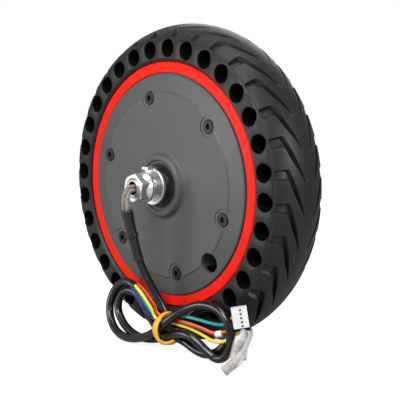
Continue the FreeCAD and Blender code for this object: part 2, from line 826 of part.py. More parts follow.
def thread(body, side, sign):
    """Thread of one axle end, as a row of ring grooves."""
    d = dims
    start = d.thread_start * sign
    step = d.thread_pitch * sign
    valley = d.axle_radius - d.thread_depth
    rim = d.axle_radius + 0.2
    groove = revolve(
        body,
        f"thread_{side}",
        [[(valley, start + step / 2), (rim, start), (rim, start + step)]],
        "PartDesign::Groove",
    )
    run = d.axle_half - d.thread_start - d.thread_pitch * 2
    pattern = body.newObject("PartDesign::LinearPattern", f"thread_{side}_turns")
    pattern.Originals = [groove]
    pattern.Direction = (groove.Profile[0], ["V_Axis"])
    pattern.Reversed = sign < 0
    bind(pattern, "Length", run)
    pattern.Occurrences = int(run.value / d.thread_pitch.value) + 1
    body.Tip = pattern
    doc.recompute()


def key_corners():
    """Section of the stator key, below the axle."""
    d = dims
    return [
        (-d.key_half, -d.key_top),
        (d.key_half, -d.key_top),
        (d.key_half, -d.key_seat),
        (-d.key_half, -d.key_seat),
    ]


def stator_key():
    """Parallel key that stops the stator support turning on the axle."""
    d = dims
    body = new_body("stator_key")
    section = sketch_on(body, "key_sketch", "XZ_Plane", d.key_reach)
    outline(section, key_corners())
    doc.recompute()
    pad(body, "key", section, d.key_reach * 2, True)


def stator_support():
    """Aluminium carrier between the axle and the laminations."""
    d = dims
    corners = [
        (d.axle_core, -d.support_half),
        (d.stator_bore, -d.support_half),
        (d.stator_bore, d.support_half),
        (d.axle_core, d.support_half),
    ]
    body = turned("stator_support", corners)
    keyway = sketch_on(body, "support_keyway_sketch", "XZ_Plane", d.support_half)
    outline(keyway, key_corners())
    pocket(body, "support_keyway", keyway, d.support_half * 2)
    hole = sketch_on(body, "lightening_sketch", "XZ_Plane", d.support_half)
    circle(hole, d.support_hole, *at_angle(d.support_circle, 30))
    cut = pocket(body, "lightening", hole, d.support_half * 2)
    polar(body, "lightening_holes", [cut], d.support_holes)


def slotted_disc(body, prefix, offset, thickness, inner):
    """A disc of the stator's outline: a ring with slots cut in from the air gap."""
    d = dims
    disc = sketch_on(body, prefix + "_disc", "XZ_Plane", offset)
    circle(disc, d.stator_radius)
    circle(disc, inner)
    doc.recompute()
    pad(body, prefix + "_blank", disc, thickness, True)
    slot = sketch_on(body, prefix + "_slot_sketch", "XZ_Plane", offset)
    mouth_top = d.stator_radius + 0.5
    mouth_low = d.slot_top + 0.9
    outline(
        slot,
        [
            (-d.slot_mouth, mouth_top),
            (-d.slot_mouth, mouth_low),
            (-d.slot_half_out, d.slot_top),
            (-d.slot_half_in, d.slot_floor),
            (d.slot_half_in, d.slot_floor),
            (d.slot_half_out, d.slot_top),
            (d.slot_mouth, mouth_low),
            (d.slot_mouth, mouth_top),
        ],
    )
    cut = pocket(body, prefix + "_slot", slot, thickness)
    polar(body, prefix + "_slots", [cut], d.slot_count)


def stator_core():
    """Stack of slotted laminations."""
    d = dims
    slotted_disc(new_body("stator_core"), "core", d.stator_half, d.stator_half * 2, d.stator_bore)


def insulator(side, sign):
    """Plastic plate that keeps the windings off one end of the laminations."""
    d = dims
    offset = d.stator_half + d.insulator if sign < 0 else -d.stator_half
    slotted_disc(new_body(f"insulator_{side}"), f"insulator_{side}", offset, d.insulator, d.stator_bore + 3)


def winding(phase, number):
    """The coils of one phase, each round its own tooth: a third of the teeth, side by side."""
    d = dims
    pitch = Size(360.0, "360") / d.slot_count
    coils = d.slot_count / 3
    wide = d.tooth_half + d.coil_thickness
    inner_end = d.stator_half + d.insulator
    outer_end = inner_end + d.coil_overhang
    body = new_body(f"winding_{phase}")
    section = sketch_on(body, f"coil_{phase}_sketch", "XY_Plane", d.coil_inner)
    bend = d.coil_thickness
    outline(
        section,
        [
            (-wide, bend - outer_end, bend, True),
            (bend - wide, -outer_end),
            (wide - bend, -outer_end, bend, True),
            (wide, bend - outer_end),
            (wide, outer_end - bend, bend, True),
            (wide - bend, outer_end),
            (bend - wide, outer_end, bend, True),
            (-wide, outer_end - bend),
        ],
    )
    rectangle(section, -d.tooth_half, d.tooth_half, -inner_end, inner_end)
    doc.recompute()
    coil = pad(body, f"coil_{phase}", section, d.coil_outer - d.coil_inner)
    polar(body, f"coils_{phase}", [coil], coils, pitch * (coils - 1))
    turn = FreeCAD.Rotation(Vector(0, 1, 0), pitch.value * (number * coils.value + 0.5))
    body.Placement = FreeCAD.Placement(Vector(), turn)


def hall_sensors():
    """Three Hall sensors in slot mouths, and the small board that carries them."""
    d = dims
    board = new_body("hall_board")
    shape = sketch_on(board, "board_sketch", "XZ_Plane", d.board_face)
    sector(shape, d.board_inner, d.board_outer, 0, d.board_half_angle)
    doc.recompute()
    pad(board, "board", shape, d.board_thickness, True)
    pitch = Size(360.0, "360") / d.slot_count * d.sensor_step
    sensors = new_body("hall_sensors")
    section = sketch_on(sensors, "sensor_sketch", "XZ_Plane", d.board_face - d.board_thickness)
    rectangle(section, -d.sensor_half, d.sensor_half, d.sensor_inner, d.sensor_outer)
    doc.recompute()
    sensor = pad(sensors, "sensor", section, d.sensor_length, True)
    polar(sensors, "sensor_row", [sensor], d.sensor_count, pitch * (d.sensor_count - 1))
    turn = FreeCAD.Rotation(Vector(0, 1, 0), -pitch.value * (d.sensor_count.value - 1) / 2)
    sensors.Placement = FreeCAD.Placement(Vector(), turn)


def spacer(side, sign):
    """Sleeve between the bearing and the tab washer; the shaft seal runs on it."""
    d = dims
    corners = [
        (d.axle_radius, d.bearing_out * sign),
        (d.inner_land, d.bearing_out * sign),
        (d.inner_land, d.washer_in * sign),
        (d.axle_radius, d.washer_in * sign),
    ]
    turned(f"spacer_{side}", corners)


def tab_washer(side, sign):
    """Thick washer whose tab bends outwards and hooks into the fork."""
    d = dims
    body = turned(
        f"tab_washer_{side}",
        [
            (d.axle_radius, d.washer_in * sign),
            (d.washer_radius, d.washer_in * sign),
            (d.washer_radius, (d.washer_out - 0.4) * sign),
            (d.washer_radius - 0.4, d.washer_out * sign),
            (d.axle_radius, d.washer_out * sign),
        ],
    )
    tab = sketch_on(body, f"tab_{side}_sketch", "YZ_Plane", -d.tab_half)
    inner = d.washer_in * sign
    outer = d.tab_reach * sign
    low = d.tab_low
    neck = d.washer_radius - 3
    bend = d.washer_out * sign
    high = d.tab_high
    outline(tab, [(inner, neck), (bend, neck), (bend, low), (outer, low), (outer, high), (inner, high)])
    doc.recompute()
    pad(body, f"tab_{side}", tab, d.tab_half * 2)


def axle_nut(side, sign):
    """Hexagon flange nut with chamfered corners."""
    d = dims
    corner = d.hexagon_half / Size(math.cos(math.radians(30)), "cos(30 deg)")
    face = d.hexagon_half + 0.3
    body = new_body(f"axle_nut_{side}")
    hexagon = sketch_on(body, f"hexagon_{side}_sketch", "XZ_Plane", -d.nut_flange * sign)
    outline(hexagon, [at_angle(corner, d.hexagon_phase + 60 * number) for number in range(6)])
    doc.recompute()
    pad(body, f"hexagon_{side}", hexagon, d.nut_out - d.nut_flange, facing(sign))
    flange = [
        (d.axle_radius, d.nut_in * sign),
        (d.flange_radius, d.nut_in * sign),
        (d.flange_radius, d.nut_flange * sign),
        (d.hexagon_half, d.nut_neck * sign),
        (d.axle_radius, d.nut_neck * sign),
    ]
    revolve(body, f"flange_{side}", [flange])
    bevel = [
        (face, d.nut_out * sign),
        (corner + 1, (d.nut_out - (corner + 1 - face) * 0.6) * sign),
        (corner + 1, (d.nut_out + 1) * sign),
        (face, (d.nut_out + 1) * sign),
    ]
    bore = [
        (0, (d.nut_in - 1) * sign),
        (d.axle_radius, (d.nut_in - 1) * sign),
        (d.axle_radius, (d.nut_out - 0.7) * sign),
        (d.axle_radius + 0.9, (d.nut_out + 0.2) * sign),
        (0, (d.nut_out + 0.2) * sign),
    ]
    revolve(body, f"nut_cuts_{side}", [bevel, bore], "PartDesign::Groove")


# ---------------------------------------------------------------- leads, cable and hank

# Routes in millimetres, each a list of points; straight runs between them are joined by arcs.
INNER_LEAD_ROUTE = [(0, -47, 0), (0, -12.4, 0), (0, -12.4, 14.6), (0, -16.2, 27.4)]
LEAD_ROUTE = [
    (0, -47, 0),
    (0, -53, 0),
    (0.3, -57.2, -4.2),
    (0.9, -57.4, -11),
    (1.2, -55.2, -21),
    (1.5, -51.6, -33.5),
    (1.7, -46.6, -48),
    (4.6, -39.6, -63.8),
    (9.6, -34.6, -76.6),
    (13.2, -34, -83.4),
]
HALL_ROUTE = [
    (27, -37, -86),
    (38, -36, -86.6),
    (48.5, -32.6, -88.4),
    (57.2, -28.4, -89.8),
    (63, -26.9, -86),
    (67, -27.3, -80.6),
    (70.2, -30, -76.2),
    (71.6, -33.6, -74.9),
    (75.2, -34.2, -74.6),
]
PHASE_ROUTES = {
    "u": [
        (27, -38.6, -83.4),
        (38, -37.4, -82.8),
        (49, -33.4, -82.2),
        (58, -28, -82.4),
        (65.5, -23.6, -82.4),
        (73.5, -26.4, -82),
        (79.4, -30.6, -81.9),
        (82, -34.2, -83.6),
        (82.2, -34.9, -86.6),
    ],
    "v": [
        (27, -36.6, -90),
        (38, -36, -90.6),
        (48, -33.6, -92.2),
        (57.6, -28.6, -94.6),
        (66, -26.6, -93),
        (71.4, -26.8, -88.4),
        (74.2, -27.2, -84.9),
        (77.5, -27.9, -84.6),
        (78.2, -28.2, -88.8),
    ],
    "w": [
        (27, -33.4, -88.4),
        (38, -32.6, -90),
        (48.5, -29, -91),
        (57.5, -25, -92),
        (66, -23.6, -88.6),
        (73.5, -23.6, -83.6),
        (80.4, -25.8, -81.6),
        (86, -30.6, -83.4),
        (88.6, -35.6, -88),
        (88.9, -39.2, -92.4),
        (88, -41.4, -95.6),
    ],
}
TERMINAL_ENDS = {"u": (80.6, -37.6, -98.4), "v": (79, -30, -100.7), "w": (80.4, -48, -104.6)}


def route(points):
    """Straight runs joined by tangent arcs, each arc as large as its two runs allow."""
    points = [Vector(*p) for p in points]
    edges = []
    radii = []
    here = points[0]
    for before, corner, after in zip(points, points[1:], points[2:]):
        into = (corner - before).normalize()
        out = (after - corner).normalize()
        half_turn = into.getAngle(out) / 2
        shorter = min((corner - before).Length, (after - corner).Length)
        back = 0.45 * shorter
        radius = back / math.tan(half_turn)
        start = corner - into * back
        end = corner + out * back
        towards = (out - into).normalize()
        middle = corner + towards * (radius / math.cos(half_turn) - radius)
        edges.append(Part.LineSegment(here, start).toShape())
        edges.append(Part.Arc(start, middle, end).toShape())
        radii.append(round(radius, 1))
        here = end
    edges.append(Part.LineSegment(here, points[-1]).toShape())
    return edges, radii


def stretch(edges, start, stop):
    """The part of a route between two lengths along it, as one wire."""
    pieces = []
    done = 0
    for edge in edges:
        low = max(start - done, 0)
        high = min(stop - done, edge.Length)
        if high - low > 1e-4:
            first = edge.getParameterByLength(low)
            last = edge.getParameterByLength(high)
            pieces.append(edge.Curve.toShape(first, last))
        done += edge.Length
    return Part.Wire(pieces)


def tube(wire, radius):
    """A round tube along a wire, checked against its section times its length."""
    first = wire.OrderedEdges[0]
    way = first.tangentAt(first.FirstParameter)
    ring = Part.Wire(Part.Circle(first.valueAt(first.FirstParameter), way, radius).toShape())
    shape = wire.makePipeShell([ring], True, False)
    expected = math.pi * radius**2 * wire.Length
    if abs(shape.Volume - expected) > 0.01 * expected:
        raise RuntimeError(f"a tube holds {shape.Volume:.1f} mm3 and should hold {expected:.1f}")
    return shape


def cord(label, points, radius):
    """One plain round tube along a route, with its length and bend radii printed."""
    edges, radii = route(points)
    length = sum(edge.Length for edge in edges)
    print(f"{label}: length {length:.1f}, radius {radius}, bends {radii}")
    return solid_part(label, tube(stretch(edges, 0, length), radius))


def lead():
    """Sleeved leads out of the axle, two heat-shrink sleeves and the cable down to the hank."""
    d = dims
    edges, radii = route(LEAD_ROUTE)
    length = sum(edge.Length for edge in edges)
    print(f"motor_cable: length {length:.1f}, radius {d.cable_radius.value}, bends {radii}")

    def run(start, stop, radius):
        return tube(stretch(edges, start, stop), radius.value)

    starts = d.shrink_start.value
    jacket = d.jacket_start.value
    middle = d.shrink_middle.value
    end = d.shrink_end.value
    leads = run(0, jacket, d.lead_radius)
    cable = run(jacket, length, d.cable_radius)
    solid_part("lead_sleeving", leads)
    solid_part("motor_cable", cable)
    inner = [run(starts, jacket, d.lead_radius), run(jacket, middle, d.cable_radius)]
    solid_part("heat_shrink_upper", run(starts, middle, d.shrink_radius).cut(inner))
    lower = run(middle, end, d.shrink_end_radius)
    solid_part("heat_shrink_lower", lower.cut(run(middle, end, d.cable_radius)))


def ellipse_plate(half_x, half_z, thickness):
    """An upright elliptical plate, centred on the origin with its thickness along Y."""
    wide = half_x >= half_z
    major, minor = (half_x, half_z) if wide else (half_z, half_x)
    curve = Part.Ellipse(Vector(0, 0, 0), major, minor).toShape()
    if not wide:
        curve.rotate(Vector(0, 0, 0), Vector(0, 0, 1), 90)
    curve.rotate(Vector(0, 0, 0), Vector(1, 0, 0), 90)
    curve.translate(Vector(0, thickness / 2, 0))
    return Part.Face(Part.Wire(curve)).extrude(Vector(0, -thickness, 0))


def lobe(centre, half_x, half_z, opening, lean):
    """One flattened loop of the hank: an elliptical plate with an opening, leaning towards the wheel."""
    d = dims
    plate = ellipse_plate(half_x, half_z, d.lobe_thickness.value)
    hole = ellipse_plate(opening[2], opening[3], 2 * d.lobe_thickness.value)
    hole.translate(Vector(opening[0], 0, opening[1]))
    plate = plate.cut(hole)
    plate.rotate(Vector(0, 0, 0), Vector(1, 0, 0), -lean)
    plate.translate(Vector(*centre))
    return plate


def waist(half_x, half_y, half_z):
    """An elliptical bar along X where the tie gathers the hank."""
    d = dims
    wide = half_z >= half_y
    curve = Part.Ellipse(Vector(0, 0, 0), max(half_z, half_y), min(half_z, half_y)).toShape()
    curve.rotate(Vector(0, 0, 0), Vector(0, 1, 0), 90)
    if not wide:
        curve.rotate(Vector(0, 0, 0), Vector(1, 0, 0), 90)
    curve.translate(Vector(d.waist_x.value - half_x, d.waist_y.value, d.waist_z.value))
    return Part.Face(Part.Wire(curve)).extrude(Vector(2 * half_x, 0, 0))


def hank():
    """The wound cable: two flat loops and the gathered waist between them, and the tie round it."""
    d = dims
    half_y = d.waist_half_y.value
    half_z = d.waist_half_z.value
    left = lobe((-13, -35.8, -87), 32, 19.2, (-4, -1, 14, 8.5), 16)
    right = lobe((44.6, -33.6, -87.4), 28.8, 18.6, (2.4, 3, 17, 7.5), 5)
    middle = waist(d.waist_half_x.value, half_y, half_z)
    clear = d.tie_half.value + 1.5
    low = Vector(d.waist_x.value - clear, d.waist_y.value - 20, d.waist_z.value - 20)
    gap = Part.makeBox(2 * clear, 40, 40, low)
    shape = middle.fuse([left.cut(gap), right.cut(gap)]).removeSplitter()
    solid_part("cable_hank", shape)
    band = waist(d.tie_half.value, half_y + d.tie_thickness.value, half_z + d.tie_thickness.value)
    solid_part("cable_tie", band.cut(shape))


def aimed(start, end, roll=Vector(0, 0, 1)):
    """A placement at start whose Y runs towards end and whose X lies as near roll as it can."""
    along = (end - start).normalize()
    across = (roll - along * roll.dot(along)).normalize()
    return FreeCAD.Placement(start, FreeCAD.Rotation(across, along, Vector(), "YXZ"))


def terminal(phase):
    """The clear sleeve of one phase terminal, and the bullet socket inside it."""
    d = dims
    place = aimed(Vector(*PHASE_ROUTES[phase][-1]), Vector(*TERMINAL_ENDS[phase]))
    inner = d.boot_outer - d.boot_wall
    mouth = d.boot_length - d.socket_inset
    deep = mouth - d.socket_length
    sleeve = turned(
        f"terminal_sleeve_{phase}",
        [
            (d.crimp_radius, 0),
            (d.crimp_radius + 1, 0),
            (d.boot_outer, 1.6),
            (d.boot_outer, d.boot_length),
            (inner, d.boot_length),
            (inner, deep),
            (d.crimp_radius, deep),
        ],
    )
    sleeve.Placement = place
    socket = turned(
        f"bullet_socket_{phase}",
        [
            (0, 0),
            (d.crimp_radius, 0),
            (d.crimp_radius, deep),
            (d.socket_outer, deep),
            (d.socket_outer, mouth),
            (d.socket_bore, mouth),
            (d.socket_bore, deep + 1),
            (0, deep + 1),
        ],
    )
    socket.Placement = place
    out = place.Rotation.multVec(Vector(0, 1, 0))
    print(f"terminal {phase}: mouth {place.multVec(Vector(0, mouth.value, 0))}, axis {out}")


def phase_leads():
    """Three phase wires with their terminals."""
    for phase, points in PHASE_ROUTES.items():
        cord(f"phase_wire_{phase}", points, dims.phase_radius.value)
        terminal(phase)


def hall_lead():
    """The bundle of sensor wires, the collar round it and its five-way connector."""
    d = dims
    cord("hall_wires", HALL_ROUTE, d.hall_radius.value)
    edges = route(HALL_ROUTE)[0]
    hold = stretch(edges, d.collar_start.value, d.collar_start.value + d.collar_length.value)
    solid_part("wire_collar", tube(hold, d.collar_radius.value).cut(tube(hold, d.hall_radius.value)))
    start = Vector(*HALL_ROUTE[-1])
    place = aimed(start, start + Vector(0.68, 0.71, 0.16), Vector(0, 0, -1))
    half_row = d.plug_row / 2
    half_thick = d.plug_thickness / 2
    first = -d.plug_pitch * (d.plug_ways - 1) / 2
    housing = new_body("hall_connector")
    block = sketch_on(housing, "plug_sketch", "XZ_Plane", 0)
    rectangle(block, -half_row, half_row, -half_thick, half_thick)
    doc.recompute()
    pad(housing, "plug", block, d.plug_length, True)
    way = sketch_on(housing, "way_sketch", "XZ_Plane", -d.plug_length)
    rectangle(way, first - d.way_half, first + d.way_half, -d.way_half, d.way_half)
    way_cut = pocket(housing, "way", way, d.plug_length - 1, True)
    latch = sketch_on(housing, "latch_sketch", "XY_Plane", half_thick)
    rectangle(latch, first - d.way_half, first + d.way_half, d.plug_length / 2, d.plug_length / 2 + 1.3)
    latch_cut = pocket(housing, "latch", latch, half_thick)
    row(housing, "ways", [way_cut, latch_cut], block)
    housing.Placement = place
    contacts = new_body("hall_contacts")
    contact = sketch_on(contacts, "contact_sketch", "XZ_Plane", -1)
    rectangle(contact, first - d.contact_half, first + d.contact_half, -d.contact_half, d.contact_half)
    doc.recompute()
    pin_pad = pad(contacts, "contact", contact, d.plug_length - 3, True)
    row(contacts, "contact_row", [pin_pad], contact)
    contacts.Placement = place


def row(body, name, features, sketch):
    """Repeat the features of one way along the connector."""
    d = dims
    pattern = body.newObject("PartDesign::LinearPattern", name)
    pattern.Originals = features
    pattern.Direction = (sketch, ["H_Axis"])
    bind(pattern, "Length", d.plug_pitch * (d.plug_ways - 1))
    pattern.Occurrences = d.plug_ways.value
    body.Tip = pattern
    doc.recompute()


# ---------------------------------------------------------------- building, checking and writing

tyre()
cover()
cover_gasket()
hub_shell()
flux_ring()
magnets("magnets_north", 0)
magnets("magnets_south", 1)
cover_screws()
axle()
stator_key()
stator_support()
stator_core()
for phase_number, phase_name in enumerate("uvw"):
    winding(phase_name, phase_number)
hall_sensors()
for side_name, side_sign in side_pair():
    rim_ring(side_name, side_sign)
    bearing(side_name, side_sign)
    seal(side_name, side_sign)
    insulator(side_name, side_sign)
    spacer(side_name, side_sign)
    tab_washer(side_name, side_sign)
    axle_nut(side_name, side_sign)
cord("inner_leads", INNER_LEAD_ROUTE, dims.inner_lead_radius.value)
lead()
hank()
phase_leads()
hall_lead()
doc.recompute()

for thing in doc.Objects:
    if "Invalid" in thing.State or "Error" in thing.State:
        raise RuntimeError(f"{thing.Label} failed: {thing.State}")
for thing in parts:
    if thing.Shape.isNull() or not thing.Shape.isValid() or not thing.Shape.Solids:
        raise RuntimeError(f"{thing.Label} has no valid solid")
if len({thing.Label for thing in parts}) != len(parts):
    raise RuntimeError("two sub-parts share a name")

os.makedirs("parts", exist_ok=True)
for thing in parts:
    thing.Shape.exportStep(os.path.join("parts", thing.Label + ".step"))
print(f"{len(parts)} sub-parts written")
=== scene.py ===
"""Looks of the hub motor wheel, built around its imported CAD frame."""

import json
import math

import bpy
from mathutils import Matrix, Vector


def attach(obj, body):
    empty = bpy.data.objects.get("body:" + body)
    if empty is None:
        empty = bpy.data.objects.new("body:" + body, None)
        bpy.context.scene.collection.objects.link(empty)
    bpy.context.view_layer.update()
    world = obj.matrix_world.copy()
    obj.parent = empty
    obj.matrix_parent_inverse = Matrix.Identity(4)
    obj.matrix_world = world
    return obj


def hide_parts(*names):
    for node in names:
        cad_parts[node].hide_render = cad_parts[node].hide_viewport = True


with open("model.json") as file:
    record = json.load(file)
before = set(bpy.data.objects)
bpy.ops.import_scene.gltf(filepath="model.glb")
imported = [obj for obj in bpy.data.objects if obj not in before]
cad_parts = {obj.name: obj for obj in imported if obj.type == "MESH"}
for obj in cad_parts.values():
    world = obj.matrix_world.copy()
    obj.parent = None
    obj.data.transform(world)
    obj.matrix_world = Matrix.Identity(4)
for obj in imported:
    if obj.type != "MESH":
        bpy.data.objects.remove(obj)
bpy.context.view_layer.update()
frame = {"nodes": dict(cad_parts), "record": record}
nodes = frame["nodes"]
scene = bpy.context.scene

# ---------------------------------------------------------------- camera, floor and light
# in metres; CAMERA_BACK points from the wheel towards the camera
CAMERA_PLACE = (0.45523, -0.42094, 0.06440)
CAMERA_BACK = (0.7207, -0.6823, 0.122)
CAMERA_LENS = 82.31
SENSOR_WIDTH = 36
CLIP_START = 0.01

camera_data = bpy.data.cameras.new("camera")
camera_data.lens = CAMERA_LENS
camera_data.sensor_width = SENSOR_WIDTH
camera_data.clip_start = CLIP_START
camera = bpy.data.objects.new("camera", camera_data)
camera.location = CAMERA_PLACE
camera.rotation_euler = (-Vector(CAMERA_BACK)).to_track_quat("-Z", "Y").to_euler()
scene.collection.objects.link(camera)
scene.camera = camera
scene.view_settings.view_transform = "Standard"

WHITE = (1, 1, 1, 1)
AMBIENT = 0.42
FLOOR_Z = -0.1068
FLOOR_HALF = 6
FLOOR_GREY = (0.42, 0.42, 0.42, 1)
FLOOR_ROUGHNESS = 0.9
FLOOR_GLOW = 0.85


def seen_or_lighting(tree, lighting, seen, output):
    """Joins two shaders, one that lights the wheel and one that the camera sees behind it."""
    choice = tree.nodes.new("ShaderNodeMixShader")
    light_path = tree.nodes.new("ShaderNodeLightPath")
    tree.links.new(light_path.outputs["Is Camera Ray"], choice.inputs["Fac"])
    tree.links.new(lighting.outputs[0], choice.inputs[1])
    tree.links.new(seen.outputs[0], choice.inputs[2])
    tree.links.new(choice.outputs["Shader"], output.inputs["Surface"])


world = bpy.data.worlds.new("studio")
world.use_nodes = True
world_tree = world.node_tree
sky = world_tree.nodes["Background"]
sky.inputs["Color"].default_value = WHITE
sky.inputs["Strength"].default_value = AMBIENT
backdrop = world_tree.nodes.new("ShaderNodeBackground")
backdrop.inputs["Color"].default_value = WHITE
seen_or_lighting(world_tree, sky, backdrop, world_tree.nodes["World Output"])
scene.world = world


def soft_light(name, azimuth, elevation, distance, size, power):
    """Square area light aimed at the wheel, placed by the angles from which it shines."""
    a, e = math.radians(azimuth), math.radians(elevation)
    data = bpy.data.lights.new(name, "AREA")
    data.size = size
    data.energy = power
    light = bpy.data.objects.new(name, data)
    way = Vector((math.sin(a) * math.cos(e), -math.cos(a) * math.cos(e), math.sin(e)))
    light.location = way * distance
    light.rotation_euler = (-way).to_track_quat("-Z", "Y").to_euler()
    scene.collection.objects.link(light)


# azimuth and elevation in degrees, distance and size in metres, power in watts
soft_light("key_light", 16, 40, distance=0.9, size=0.40, power=6.5)
soft_light("fill_light", -30, 6, distance=0.9, size=0.40, power=3)
soft_light("tread_light", 88, 20, distance=0.8, size=0.25, power=3)
soft_light("top_light", 40, 80, distance=0.9, size=0.5, power=3)
soft_light("back_light", 215, 30, distance=1.0, size=0.6, power=2.5)


# ---------------------------------------------------------------- materials
MOTTLE_DETAIL = 4.0
GRAIN_DETAIL = 3.0
NOISE_ROUGHNESS = 0.6
MOTTLE_FROM, MOTTLE_TO = 0.3, 0.7
GLOSS_SPREAD = 0.09
SMOOTHEST = 0.02
EDGE_SAMPLES = 4
FINISH = {}


def scaled(colour, factor):
    """A colour made darker or lighter, with its alpha."""
    return tuple(min(c * factor, 1) for c in colour) + (1,)


def finish(name, colour, roughness, metallic=0.0, mottle=0.1, mottle_size=0.02,
           grain_size=0.0008, grain=0.00002, stretch=(1, 1, 1), edge=0.0, **sockets):
    """Adds a procedural finish: slow changes of colour, fine grain in gloss and height, soft edges.

    mottle is a share of the colour; sizes, the grain's height and the edge's radius are in metres.
    sockets are plain values of other Principled inputs."""
    made_finish = bpy.data.materials.new(name)
    made_finish.use_nodes = True
    tree = made_finish.node_tree
    shader = tree.nodes["Principled BSDF"]
    shader.inputs["Metallic"].default_value = metallic
    for key, value in sockets.items():
        shader.inputs[key.replace("_", " ")].default_value = value

    def node(kind, **inputs):
        made = tree.nodes.new(kind)
        for key, value in inputs.items():
            made.inputs[key].default_value = value
        return made

    place = tree.nodes.new("ShaderNodeTexCoord").outputs["Object"]
    spread = node("ShaderNodeMapping", Scale=stretch)
    tree.links.new(place, spread.inputs["Vector"])

    slow = node("ShaderNodeTexNoise", Scale=1 / mottle_size, Detail=MOTTLE_DETAIL,
                Roughness=NOISE_ROUGHNESS)
    tree.links.new(place, slow.inputs["Vector"])
    shades = tree.nodes.new("ShaderNodeValToRGB")
    darker, lighter = shades.color_ramp.elements
    darker.position, darker.color = MOTTLE_FROM, scaled(colour, 1 - mottle)
    lighter.position, lighter.color = MOTTLE_TO, scaled(colour, 1 + mottle)
    tree.links.new(slow.outputs["Fac"], shades.inputs["Fac"])
    tree.links.new(shades.outputs["Color"], shader.inputs["Base Color"])

    fine = node("ShaderNodeTexNoise", Scale=1 / grain_size, Detail=GRAIN_DETAIL,
                Roughness=NOISE_ROUGHNESS)
    tree.links.new(spread.outputs["Vector"], fine.inputs["Vector"])
    gloss = node("ShaderNodeMapRange")
    gloss.inputs["To Min"].default_value = max(roughness - GLOSS_SPREAD, SMOOTHEST)
    gloss.inputs["To Max"].default_value = min(roughness + GLOSS_SPREAD, 1)
    tree.links.new(fine.outputs["Fac"], gloss.inputs["Value"])
    tree.links.new(gloss.outputs["Result"], shader.inputs["Roughness"])

    bump = node("ShaderNodeBump", Strength=1.0, Distance=grain)
    tree.links.new(fine.outputs["Fac"], bump.inputs["Height"])
    if edge:
        soft_edge = node("ShaderNodeBevel", Radius=edge)
        soft_edge.samples = EDGE_SAMPLES
        tree.links.new(soft_edge.outputs["Normal"], bump.inputs["Normal"])
    tree.links.new(bump.outputs["Normal"], shader.inputs["Normal"])
    FINISH[name] = made_finish


# in order: colour, roughness, metallic, mottle, mottle_size, grain_size, grain, stretch
finish("alloy", (0.070, 0.071, 0.073), 0.44, 0.2, 0.07, 0.03, 0.0006, 0.000025, edge=0.0004,
       Specular_IOR_Level=0.35)
finish("rubber", (0.0105, 0.0105, 0.0108), 0.44, 0, 0.25, 0.012, 0.0009, 0.00003,
       Specular_IOR_Level=0.3)
# rubber of the holes' walls, made near black as painted shade inside the deep holes
finish("rubber_bore_painted_shade", (0.0015, 0.0015, 0.0016), 0.8, 0, 0.2, 0.012, 0.0009, 0.00002,
       Specular_IOR_Level=0.1)
finish("ring", (0.71, 0.011, 0.002), 0.34, 0, 0.05, 0.02, 0.0008, 0.00001, edge=0.0003,
       Specular_IOR_Level=0.1)
finish("zinc", (0.70, 0.71, 0.71), 0.34, 1, 0.14, 0.005, 0.0010, 0.00004, edge=0.0003)
finish("axle_steel", (0.48, 0.49, 0.50), 0.36, 1, 0.14, 0.005, 0.0008, 0.00003, edge=0.0002)
finish("bearing_steel", (0.62, 0.63, 0.65), 0.16, 1, 0.05, 0.01, 0.001, 0.000004)
finish("cage_steel", (0.45, 0.46, 0.48), 0.34, 1, 0.08, 0.006)
finish("screw_steel", (0.018, 0.018, 0.02), 0.34, 0.6, 0.15, 0.003, edge=0.0002)
finish("shaft_seal", (0.010, 0.010, 0.011), 0.55, 0, 0.15, 0.004, Specular_IOR_Level=0.3)
finish("gasket", (0.07, 0.045, 0.03), 0.75, 0, 0.2, 0.004)
finish("flux_steel", (0.34, 0.34, 0.36), 0.4, 1, 0.1, 0.008, stretch=(1, 12, 1))
finish("magnet", (0.55, 0.56, 0.6), 0.2, 1, 0.06, 0.01)
finish("lamination", (0.2, 0.2, 0.22), 0.45, 0.8, 0.15, 0.004, 0.0005, 0.00005, (0.1, 1, 0.1))
finish("carrier", (0.62, 0.63, 0.65), 0.5, 0.9, 0.1, 0.006)
finish("insulator", (0.06, 0.2, 0.11), 0.5, 0, 0.12, 0.006)
finish("winding", (0.55, 0.2, 0.07), 0.28, 0.7, 0.15, 0.003, 0.0009, 0.0002, (1, 0.1, 1))
finish("board", (0.015, 0.19, 0.06), 0.35, 0, 0.15, 0.004)
finish("sensor", (0.015, 0.015, 0.016), 0.45, 0, 0.1, 0.003)
finish("sleeving", (0.19, 0.165, 0.14), 0.62, 0, 0.35, 0.0022, 0.00045, 0.00014)
finish("shrink", (0.010, 0.010, 0.011), 0.24, 0, 0.4, 0.004, 0.0016, 0.00010)
finish("jacket", (0.0045, 0.0045, 0.005), 0.19, 0, 0.25, 0.01, 0.0007, 0.00002)
finish("tie", (0.78, 0.34, 0.02), 0.42, 0, 0.12, 0.004, 0.0008, 0.00004, Subsurface_Weight=0.1)
finish("wire_u", (0.012, 0.26, 0.25), 0.3, 0, 0.08, 0.004, 0.0006, 0.00001)
finish("wire_v", (0.85, 0.62, 0.06), 0.3, 0, 0.06, 0.004, 0.0006, 0.00001)
finish("wire_w", (0.006, 0.018, 0.13), 0.3, 0, 0.08, 0.004, 0.0006, 0.00001)
finish("hall_wire", (0.85, 0.22, 0.03), 0.35, 0, 0.08, 0.004, 0.0006, 0.00001)
finish("collar", (0.80, 0.80, 0.78), 0.3, 0, 0.05, 0.003, Subsurface_Weight=0.1)
finish("clear_sleeve", (0.80, 0.78, 0.78), 0.22, 0, 0.06, 0.003, 0.001, 0.00004, Alpha=0.25)
finish("contact", (0.42, 0.33, 0.17), 0.26, 1, 0.2, 0.003)
finish("plug", (0.68, 0.67, 0.64), 0.45, 0, 0.04, 0.004, 0.0006, 0.00001, edge=0.00025,
       Subsurface_Weight=0.1)

